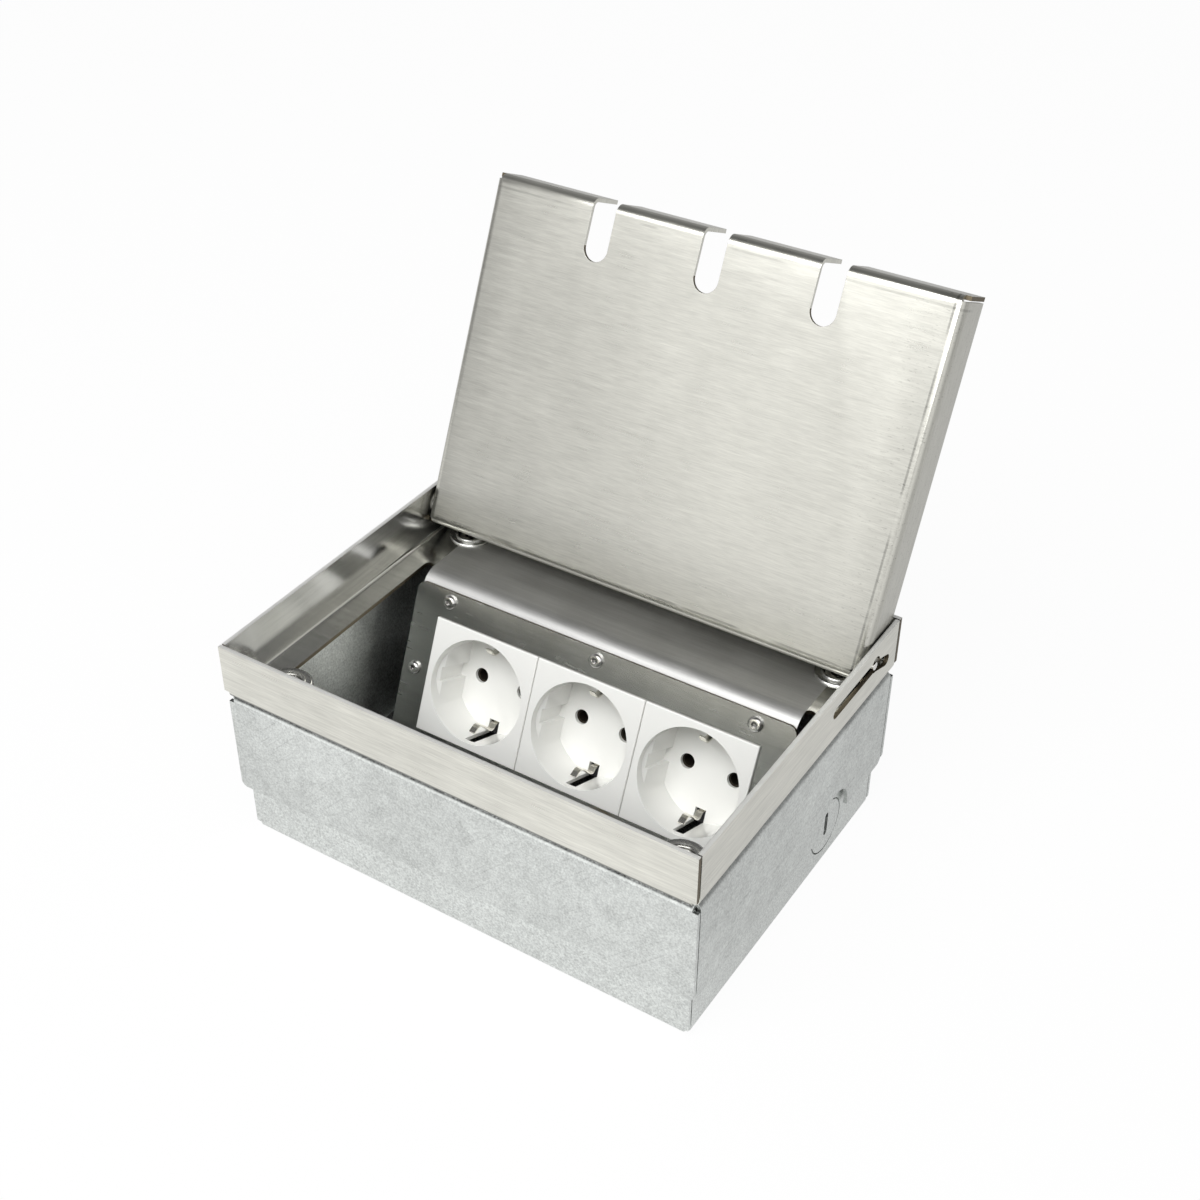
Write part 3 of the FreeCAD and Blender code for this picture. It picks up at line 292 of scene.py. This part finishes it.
def polishedMetal(name, settings, colour, rough):
    f = Finish(name)
    cloud = f.noise(f.place(), settings["cloud"], 3.0, 0.6)
    fine = f.noise(f.place(), settings["fine"])
    # painted shade: the hexagonal recess, marked hollow, is darkened
    shade = 1.0 + (cloud - 0.5) * settings["wear"] - f.attribute("hollow") * settings["hollowShade"]
    return f.surface({
        "Base Color": f.tint((*colour, 1.0), shade), "Metallic": settings["metal"],
        "Roughness": rough + (cloud - 0.5) * settings["roughSpread"],
        "Normal": f.bump(fine, settings["relief"], settings["reliefStrength"])})


lidTurn = math.radians(114.0)

# Scribed lines along three edges of the lid and scuffs on its right part, with painted shade that darkens
# the lower corners, the sides, the foot and the right side, in place of darker reflections there
lidMarksAndShade = {
    "half": 0.0900, "inset": 0.0036, "topInset": 0.00468, "line": 0.00022, "lineFade": 0.00055,
    "right": 0.30, "low": 0.34, "top": 0.18, "gaps": 60.0, "gapRange": (0.40, 0.55),
    "corner": 0.012, "cornerRange": (0.00001, 0.00013), "cornerShade": 0.30,
    "sideRange": (0.072, 0.089), "sideShade": 0.13, "footStart": 0.030, "footFull": 0.002,
    "footShade": 0.12, "rightShadeRange": (0.020, 0.085), "rightShade": 0.08, "scuff": 900.0, "scuffTurn": 0.5,
    "scuffRange": (0.62, 0.70), "scuffedRange": (0.060, 0.088), "scuffShade": 0.22}


def lidLinesAndShade(f, x, y):
    verts = frame["nodes"]["lid_tray"].data.vertices
    spots = [Matrix.Rotation(lidTurn, 3, "X") @ vert.co for vert in verts]
    low, high = max(spot.y for spot in spots), min(spot.y for spot in spots)

    def stroke(distance, weight):
        return (1.0 - f.ease(f.size(distance), lidMarksAndShade["line"], lidMarksAndShade["lineFade"])) * weight

    right = stroke(lidMarksAndShade["half"] - x - lidMarksAndShade["inset"], lidMarksAndShade["right"])
    foot = stroke(low - y - lidMarksAndShade["inset"], lidMarksAndShade["low"])
    top = stroke(y - high - lidMarksAndShade["topInset"], lidMarksAndShade["top"])
    lines = (right + foot + top) * f.ease(f.noise(f.place(), lidMarksAndShade["gaps"]), *lidMarksAndShade["gapRange"])
    # painted shade: darker lower corners, sides, foot and right side
    nearSide = f.sum("MAXIMUM", f.size(x) - lidMarksAndShade["half"] + lidMarksAndShade["corner"])
    nearFoot = f.sum("MAXIMUM", y - low + lidMarksAndShade["corner"])
    paintedShade = f.ease(nearSide * nearFoot, *lidMarksAndShade["cornerRange"]) * lidMarksAndShade["cornerShade"]
    paintedShade = paintedShade + f.ease(f.size(x), *lidMarksAndShade["sideRange"]) * lidMarksAndShade["sideShade"]
    footShadeMask = f.ease(y, low - lidMarksAndShade["footStart"], low - lidMarksAndShade["footFull"])
    paintedShade = paintedShade + footShadeMask * lidMarksAndShade["footShade"]
    paintedShade = paintedShade + f.ease(x, *lidMarksAndShade["rightShadeRange"]) * lidMarksAndShade["rightShade"]
    scuffPlace = f.turned(scale=(0.55, 1.0, 2.2), turn=(0, lidMarksAndShade["scuffTurn"], 0))
    scuff = f.ease(f.noise(scuffPlace, lidMarksAndShade["scuff"], 2.0, 0.6), *lidMarksAndShade["scuffRange"])
    return lines + paintedShade + scuff * f.ease(x, *lidMarksAndShade["scuffedRange"]) * lidMarksAndShade["scuffShade"]


# Painted shade darkens the plate's right end
plateShade = {"rightShadeRange": (0.020, 0.070), "rightShade": 0.22}


def plateRightShade(f, x, y):
    return f.ease(x, *plateShade["rightShadeRange"]) * plateShade["rightShade"]


lidSteel = dict(stainless, streak=0.20, band=0.08, grainLength=0.006, grainWidth=0.0004, relief=0.000009)
# The plate's colour is darker than the frame's: painted shade for the dark box inside that it mirrors
plateSteel = dict(stainless, colour=(0.52, 0.52, 0.505), rough=0.25, streak=0.14)

# By material slot, then those of single pieces. The contacts get a near-black colour, painted shade that
# makes the pin holes dark.
finishes = {
    "stainless": brushedSteel("brushedStainless", stainless, inside=frameInside),
    "galvanised": galvanisedSteel("galvanisedSheet", galvanised),
    "white_gloss": glossPlastic("whiteGloss", moulded),
    "housing": glossPlastic("rearHousing", dict(moulded, colour=(0.045, 0.045, 0.047), rough=0.42)),
    "screw": polishedMetal("brightScrew", polished, (0.78, 0.77, 0.75), 0.14),
    "zinc_steel": polishedMetal("zincSteel", polished, (0.60, 0.61, 0.62), 0.36),
    "nickel": polishedMetal("springNickel", polished, (0.80, 0.78, 0.72), 0.20),
    "brass": polishedMetal("satinBrass", polished, (0.72, 0.55, 0.28), 0.30),
    "lid": brushedSteel("brushedLid", lidSteel, turn=lidTurn, marksAndShade=lidLinesAndShade),
    "plate": brushedSteel("brushedPlate", plateSteel, marksAndShade=plateRightShade),
    "box": galvanisedSteel("galvanisedBox", dict(galvanised, speck=0.60, cloud=0.22, lift=1.09)),
    "cup": polishedMetal("cupSteel", polished, (0.50, 0.50, 0.485), 0.26),
    "contact": polishedMetal("shadedContact", dict(polished, metal=0.6), (0.05, 0.042, 0.03), 0.5),
}
for node, thing in frame["nodes"].items():
    finish = "contact" if node.startswith("pin_contacts") else slotOf[node]
    thing.data.materials.clear()
    thing.data.materials.append(finishes[finish])
print("finishes made:", len(finishes))


sheet = {"gauge": 1.5 * mm, "slack": 0.12 * mm, "sharp": math.radians(60), "frameRim": 82 * mm}


# Faces one gauge wide with sharp sides are where the sheet was cut. Those that face up above the rim's
# height are the frame's upper edge, which gets a painted highlight.
def markCuts(work, rim):
    layer = work.faces.layers.float.new("cutEdge")
    rimLayer = work.faces.layers.float.new("rimHighlight")
    gauge, slack = sheet["gauge"], sheet["slack"]
    work.normal_update()
    for face in work.faces:
        sides = [edge for edge in face.edges if len(edge.link_faces) == 2]
        sharp = [edge for edge in sides if edge.calc_face_angle(0.0) > sheet["sharp"]]
        if len(sharp) < 2:
            continue
        start, end = max(sharp, key=lambda edge: edge.calc_length()).verts
        run = (end.co - start.co).normalized()
        across = [(vert.co - start.co) - run * (vert.co - start.co).dot(run) for vert in face.verts]
        width = max(step.length for step in across)
        short = max(abs((vert.co - start.co).dot(run)) for vert in face.verts)
        if abs(width - gauge) < slack or (abs(short - gauge) < slack and width < 1.2 * gauge):
            upper = rim and face.normal.z > 0.9 and face.calc_center_median().z > rim
            face[rimLayer if upper else layer] = 1.0


def body(node):
    for name, members in frame["record"]["behaviour"]["bodies"].items():
        if node in members:
            return name


soft = {"weld": 2e-6, "flatten": math.radians(0.6), "from": math.radians(34), "segments": 2}


# A CAD node's own shape with soft edges and smooth bends
def softened(node, name, edge, finish=None):
    slot = slotOf[node]
    mesh = frame["nodes"][node].data.copy()
    work = bmesh.new()
    work.from_mesh(mesh)
    bmesh.ops.remove_doubles(work, verts=work.verts, dist=soft["weld"])
    bmesh.ops.dissolve_limit(work, angle_limit=soft["flatten"], verts=work.verts, edges=work.edges)
    for face in work.faces:
        face.smooth = True
    if slot == "stainless":
        markCuts(work, sheet["frameRim"] if node == "top_frame" else None)
    work.to_mesh(mesh)
    work.free()
    if "custom_normal" in mesh.attributes:
        mesh.attributes.remove(mesh.attributes["custom_normal"])
    mesh.materials.clear()
    mesh.materials.append(finishes[finish or slot])
    piece = bpy.data.objects.new(name, mesh)
    scene.collection.objects.link(piece)
    bevel = piece.modifiers.new("edge", "BEVEL")
    bevel.width = edge * mm
    bevel.segments = soft["segments"]
    bevel.limit_method = "ANGLE"
    bevel.angle_limit = soft["from"]
    bevel.harden_normals = True
    bevel.use_clamp_overlap = True
    result = bpy.data.meshes.new_from_object(piece.evaluated_get(bpy.context.evaluated_depsgraph_get()))
    piece.modifiers.clear()
    piece.data = result
    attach(piece, body(node))
    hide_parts(node)


# Name, width of the soft edge in millimetres, and a finish where it isn't the slot's own
softShapes = {
    "top_frame": ("topFrameSheet", 0.2), "lid_tray": ("lidTraySheet", 0.2, "lid"),
    "socket_plate": ("socketPlateSheet", 0.2, "plate"), "height_skirt": ("heightSkirtSheet", 0.2),
    "lower_box": ("lowerBoxSheet", 0.2, "box"), "socket_front_1": ("socketFrontLeft", 0.15),
    "socket_front_2": ("socketFrontMiddle", 0.15), "socket_front_3": ("socketFrontRight", 0.15),
    "earth_strap_1": ("EarthStrap1Soft", 0.14), "earth_strap_2": ("EarthStrap2Soft", 0.14),
    "earth_strap_3": ("EarthStrap3Soft", 0.14), "lid_pivot_pins": ("LidPivotPinsSoft", 0.2),
    "plate_nuts": ("PlateNutsSoft", 0.25), "earth_nuts": ("EarthNutsSoft", 0.25),
    "earth_washer": ("EarthWasherSoft", 0.12), "levelling_pillars": ("LevellingPillarsSoft", 0.4),
}
for node, choice in softShapes.items():
    softened(node, *choice)
print("shapes softened:", len(softShapes))


turning = {"stations": 17, "rowsPerTurn": 8.0, "weld": 0.000004, "sharp": math.radians(28)}


# Turned parts repeated by Geometry Nodes: a profile run round an axis, with a hexagonal
# recess where the profile begins and a thread below where it ends
class Turning:
    def __init__(self, name):
        self.tree = bpy.data.node_groups.new(name, "GeometryNodeTree")
        self.tree.interface.new_socket("Geometry", in_out="OUTPUT", socket_type="NodeSocketGeometry")
        self.tree.interface.new_socket("Places", in_out="INPUT", socket_type="NodeSocketGeometry")
        self.inputs = {}
        self.entry = None

    def offer(self, name, kind, value):
        socket = self.tree.interface.new_socket(name, in_out="INPUT", socket_type="NodeSocket" + kind)
        self.inputs[name] = (socket.identifier, value)

    def given(self, name):
        if self.entry is None:
            self.entry = self.make("NodeGroupInput")
        return Flow(self, self.entry.outputs[name])

    make = Finish.make
    flow = Finish.flow
    sum = Finish.sum
    split = Finish.split
    vector = Finish.vector

    def curve(self, value, heights):
        node = self.make("ShaderNodeFloatCurve", None, {1: value})
        curve = node.mapping.curves[0]
        last = len(heights) - 1
        while len(curve.points) < len(heights):
            curve.points.new(0.5, 0.5)
        for index, height in enumerate(heights):
            curve.points[index].location = (index / last, height)
        for point in curve.points:
            point.handle_type = "VECTOR"
        node.mapping.update()
        return self.flow(node)

    # A grid bent into a surface round Z, from its fields of radius, angle and height
    def wrapped(self, columns, around, shape, hollow=0.0):
        grid = self.make("GeometryNodeMeshGrid", None, {
            "Size X": 1.0, "Size Y": 1.0, "Vertices X": columns, "Vertices Y": around + 1.0})
        place = self.split(self.flow(self.make("GeometryNodeInputPosition")))
        along = place[0] + 0.5
        # the hollow mask marks the hexagonal recess, which the metal's colour darkens as painted shade
        marked = self.make("GeometryNodeStoreNamedAttribute", {"data_type": "FLOAT", "domain": "POINT"}, {
            "Geometry": self.flow(grid, "Mesh"), "Name": "hollow",
            "Value": self.sum("LESS_THAN", along, hollow)})
        radius, angle, height = shape(along, place[1] + 0.5)
        spot = self.vector(radius * self.sum("COSINE", angle), radius * self.sum("SINE", angle), height)
        return self.flow(self.make("GeometryNodeSetPosition", None, {
            "Geometry": self.flow(marked), "Position": spot}), "Geometry")


# A fixed number of stations along the profile, so that each corner falls on one of them
def stations(profile):
    points = [Vector(point) for point in profile]
    while len(points) < turning["stations"]:
        gaps = [(points[i + 1] - points[i]).length for i in range(len(points) - 1)]
        longest = gaps.index(max(gaps))
        points.insert(longest + 1, (points[longest] + points[longest + 1]) / 2)
    return points


def turnedTree(name, settings):
    t = Turning(name)
    t.offer("Around", "Int", settings["around"])
    t.offer("Thread Radius", "Float", settings.get("threadRadius", 0.0) * mm)
    t.offer("Thread Length", "Float", settings.get("threadLength", 0.0) * mm)
    t.offer("Pitch", "Float", settings.get("pitch", 1.0) * mm)
    t.offer("Thread Depth", "Float", settings.get("threadDepth", 0.0) * mm)
    t.offer("Material", "Material", settings["finish"])
    points = stations(settings["profile"])
    widest = max(point.x for point in points)
    low = min(point.y for point in points)
    tall = max(point.y for point in points) - low
    recess = settings.get("recess", 0)
    around = t.given("Around")
    last = turning["stations"] - 1

    def head(u, v):
        angle = v * math.tau
        radius = t.curve(u, [point.x / widest for point in points]) * (widest * mm)
        height = t.curve(u, [(point.y - low) / tall for point in points]) * (tall * mm) + low * mm
        if recess:
            sector = math.tau / 6
            within = t.sum("MODULO", angle, sector) - sector / 2
            flats = 1.0 / t.sum("COSINE", within) - 1.0
            radius = radius * (1.0 + flats * t.sum("LESS_THAN", u, (recess - 0.5) / last))
        return radius, angle, height

    shapes = [t.wrapped(turning["stations"], around, head, (recess - 1.5) / last)]
    if settings.get("threadLength"):
        length = t.given("Thread Length")
        rows = t.sum("ROUND", length / t.given("Pitch") * turning["rowsPerTurn"]) + 1.0

        def shank(u, v):
            turns = t.sum("FRACT", u * length / t.given("Pitch") - v + 1.0)
            ridge = t.sum("PINGPONG", turns, 0.5) * 2.0
            ends = t.sum("MINIMUM", u, 1.0 - u) * length / t.given("Pitch")
            depth = t.given("Thread Depth") * t.sum("MINIMUM", ends * 2.0, 1.0)
            radius = t.given("Thread Radius") - depth * (1.0 - ridge)
            # the last row closes the end
            radius = radius * t.sum("LESS_THAN", u, 0.9999)
            return radius, v * math.tau, points[-1].y * mm - u * length

        shapes.append(t.wrapped(rows, around, shank))
    joined = t.make("GeometryNodeJoinGeometry")
    for shape in shapes:
        t.tree.links.new(shape.socket, joined.inputs[0])
    merged = t.make("GeometryNodeMergeByDistance", None, {
        "Geometry": t.flow(joined), "Distance": turning["weld"]})
    axis = t.make("GeometryNodeInputNamedAttribute", {"data_type": "FLOAT_VECTOR"}, {"Name": "axis"})
    facing = t.make("FunctionNodeAlignRotationToVector", {"axis": "Z"},
                    {"Vector": t.flow(axis, "Attribute")})
    copies = t.make("GeometryNodeInstanceOnPoints", None, {
        "Points": t.given("Places"), "Instance": t.flow(merged), "Rotation": t.flow(facing)})
    real = t.make("GeometryNodeRealizeInstances", None, {"Geometry": t.flow(copies)})
    coated = t.make("GeometryNodeSetMaterial", None, {
        "Geometry": t.flow(real), "Material": t.given("Material")})
    out = t.make("NodeGroupOutput")
    t.tree.links.new(coated.outputs[0], out.inputs[0])
    return t


def turnedParts(name, node, settings):
    mesh = bpy.data.meshes.new(name)
    mesh.from_pydata([[size * mm for size in place] for place in settings["places"]], [], [])
    axis = mesh.attributes.new("axis", "FLOAT_VECTOR", "POINT")
    for item in axis.data:
        item.vector = settings["axis"]
    piece = bpy.data.objects.new(name, mesh)
    scene.collection.objects.link(piece)
    tree = turnedTree(name, settings)
    maker = piece.modifiers.new("turning", "NODES")
    maker.node_group = tree.tree
    for identifier, value in tree.inputs.values():
        maker[identifier] = value
    result = bpy.data.meshes.new_from_object(piece.evaluated_get(bpy.context.evaluated_depsgraph_get()))
    piece.modifiers.clear()
    result.shade_smooth()
    result.set_sharp_from_angle(angle=turning["sharp"])
    piece.data = result
    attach(piece, body(node))
    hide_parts(node)
    print(name, len(result.polygons), "faces")


# Places, profiles and threads in millimetres. A profile's points are (radius, height above the
# place along the axis), and recess is how many of them belong to the hexagon.
plateTopScrews = {
    "places": [(-63.7, 20.507, 57.218), (0.0, 20.507, 57.218), (63.7, 20.507, 57.218)],
    "axis": (0.0, -0.9212, 0.3891), "around": 36, "recess": 4, "finish": finishes["screw"],
    "profile": [(0, 0.35), (0.99, 0.52), (1.0, 1.48), (1.08, 1.62), (1.5, 1.64), (1.96, 1.60), (2.36, 1.34),
                (2.64, 0.98), (2.79, 0.62), (2.8, 0.2), (2.72, 0.0), (1.49, 0.0), (1.49, -1.6)],
    "threadRadius": 1.49, "threadLength": 6.35, "pitch": 0.5, "threadDepth": 0.26}
plateSideScrews = dict(plateTopScrews, **{
    "places": [(-73.5, 9.106, 30.227), (73.5, 9.106, 30.227)],
    "profile": [(0, 0.35), (0.99, 0.52), (1.0, 1.48), (1.08, 1.62), (1.4, 1.64), (1.82, 1.60), (2.2, 1.34),
                (2.46, 0.98), (2.59, 0.62), (2.6, 0.2), (2.52, 0.0), (1.49, 0.0), (1.49, -1.6)]})
cupPlaces = {"front_left": (-77.5, -54.0), "back_left": (-77.5, 54.0), "front_right": (77.5, -54.0),
             "back_right": (77.5, 54.0)}
levellingCups = {
    "places": [(x, y, 62.996) for x, y in cupPlaces.values()],
    "axis": (0.0, 0.0, 1.0), "around": 64, "finish": finishes["cup"],
    "profile": [(5.26, 0.95), (5.42, 1.3), (5.75, 1.45), (6.1, 1.42), (6.4, 1.15), (6.5, 0.6), (7.1, 0.5),
                (8.2, 0.66), (8.49, 0.4), (8.48, 0.02), (6.08, 0.02), (6.08, -6.9), (5.7, -7.29),
                (3.32, -7.29), (3.32, -5.8), (5.26, -5.78), (5.26, 0.95)]}
levellingScrew = {
    "level": 63.346, "axis": (0.0, 0.0, 1.0), "around": 48, "recess": 5, "finish": finishes["screw"],
    "profile": [(0, -3.2), (2.35, -2.55), (2.5, -2.4), (2.5, -0.25), (2.72, 0.0), (3.0, 0.0), (4.55, -0.02),
                (4.9, -0.2), (4.99, -0.55), (4.99, -5.7), (4.7, -5.99), (2.99, -5.99), (2.99, -11.0)],
    "threadRadius": 2.97, "threadLength": 43.9, "pitch": 1.0, "threadDepth": 0.5}
earthStud = {
    "places": [(0.0, -40.0, 0.2)], "axis": (0.0, 0.0, -1.0), "around": 32, "finish": finishes["brass"],
    "profile": [(0, 0), (1.0, 0), (1.6, 0), (1.75, -0.15), (1.75, -4.0), (1.75, -8.85), (1.97, -9.1)],
    "threadRadius": 1.97, "threadLength": 6.85, "pitch": 0.7, "threadDepth": 0.3}
turnedParts("plateTopScrewHeads", "plate_top_screws", plateTopScrews)
turnedParts("plateSideScrewHeads", "plate_side_screws", plateSideScrews)
turnedParts("levellingCupRings", "levelling_cups", levellingCups)
for corner, (x, y) in cupPlaces.items():
    screw = dict(levellingScrew, places=[(x, y, levellingScrew["level"])])
    turnedParts("levellingScrew" + corner.title().replace("_", ""), "levelling_screw_" + corner, screw)
turnedParts("earthStudThread", "earth_stud", earthStud)
print("turned parts made")


# Studio: pale floor, a lamp above the front, a soft glow at the front right and a dim ceiling
studio = {
    "reach": 3.0, "floor": 0.90, "shown": 0.95, "mirrored": 0.80, "farMirrored": 0.28,
    "farRange": (-0.12, 0.0), "air": 0.30, "dimmer": 0.18, "overheadRange": (0.55, 0.9),
    "glow": 0.86, "toGlow": (0.40, -0.82, 0.36), "glowRange": (0.33, 0.80),
    "dip": 0.30, "dipRange": (0.84, 0.985),
    "key": 13.2, "keyPlace": (0.0, -0.75, 1.10), "keyTarget": (0.0, 0.0, 0.05), "keySize": (1.3, 0.65)}
white = (1.0, 1.0, 1.0, 1.0)


# The floor shows near white to the camera, keeps its shadow, and mirrors dimmer towards the back
def makeFloor():
    mesh = bpy.data.meshes.new("floor")
    reach = studio["reach"]
    mesh.from_pydata([(-reach, -reach, 0), (reach, -reach, 0), (reach, reach, 0), (-reach, reach, 0)],
                     [], [(0, 1, 2, 3)])
    floor = bpy.data.objects.new("floor", mesh)
    scene.collection.objects.link(floor)
    f = Finish("paleFloor")
    rays = f.make("ShaderNodeLightPath")
    mirrored = f.sum("MAXIMUM", f.flow(rays, "Is Glossy Ray"), f.flow(rays, "Is Transmission Ray"))
    shown = f.flow(rays, "Is Camera Ray") * studio["shown"] + mirrored * studio["mirrored"]
    level = studio["floor"]
    matt = f.make("ShaderNodeBsdfDiffuse", None, {"Color": (level, level, level, 1.0)})
    far = f.ease(f.split(f.place())[1], *studio["farRange"])
    strength = 1.0 - mirrored * far * studio["farMirrored"]
    glow = f.make("ShaderNodeEmission", None, {"Color": white, "Strength": strength})
    both = f.make("ShaderNodeMixShader", None, {0: shown, 1: f.flow(matt), 2: f.flow(glow)})
    out = f.make("ShaderNodeOutputMaterial")
    f.tree.links.new(both.outputs[0], out.inputs[0])
    mesh.materials.append(f.owner)


def makeWorld():
    f = Finish("studioAir", world=True)
    toward = f.flow(f.make("ShaderNodeTexCoord"), "Generated")
    facing = f.flow(f.make("ShaderNodeVectorMath", {"operation": "DOT_PRODUCT"},
                           {0: toward, 1: Vector(studio["toGlow"]).normalized()}), "Value")
    glow = f.ease(facing, *studio["glowRange"])
    glow = glow * (1.0 - f.ease(facing, *studio["dipRange"]) * studio["dip"])
    overhead = f.ease(f.split(toward)[2], *studio["overheadRange"])
    level = glow * studio["glow"] + studio["air"] - overhead * studio["dimmer"]
    seen = f.flow(f.make("ShaderNodeLightPath"), "Is Camera Ray")
    air = f.make("ShaderNodeBackground", None, {"Color": white, "Strength": level * (1.0 - seen) + seen})
    out = f.make("ShaderNodeOutputWorld")
    f.tree.links.new(air.outputs[0], out.inputs[0])
    scene.world = f.owner


def makeLamp():
    lamp = bpy.data.lights.new("keyLamp", "AREA")
    lamp.shape = "RECTANGLE"
    lamp.size, lamp.size_y = studio["keySize"]
    lamp.energy = studio["key"]
    holder = bpy.data.objects.new("keyLamp", lamp)
    holder.location = studio["keyPlace"]
    away = Vector(studio["keyTarget"]) - Vector(studio["keyPlace"])
    holder.rotation_euler = away.to_track_quat("-Z", "Y").to_euler()
    scene.collection.objects.link(holder)


# Focal length and middle are in pixels of a square picture of the given width
view = {"azimuth": 32.848, "elevation": 37.267, "distance": 0.58671, "target": (0.008597, 0.0, 0.087789),
        "focal": 1769.0, "middle": (585.29, 628.99), "width": 1200.0, "sensor": 36.0, "near": 0.01}


def makeCamera():
    camera = bpy.data.cameras.new("photoCamera")
    holder = bpy.data.objects.new("photoCamera", camera)
    turn = math.radians(view["azimuth"])
    rise = math.radians(view["elevation"])
    away = Vector((math.sin(turn) * math.cos(rise), -math.cos(turn) * math.cos(rise), math.sin(rise)))
    holder.location = Vector(view["target"]) + away * view["distance"]
    holder.rotation_euler = (-away).to_track_quat("-Z", "Y").to_euler()
    width = view["width"]
    camera.sensor_width = view["sensor"]
    camera.lens = view["sensor"] * view["focal"] / width
    camera.shift_x = (width / 2 - view["middle"][0]) / width
    camera.shift_y = (view["middle"][1] - width / 2) / width
    camera.clip_start = view["near"]
    scene.collection.objects.link(holder)
    scene.camera = holder


makeFloor()
makeWorld()
makeLamp()
makeCamera()
scene.view_settings.view_transform = "Standard"
print("studio ready")
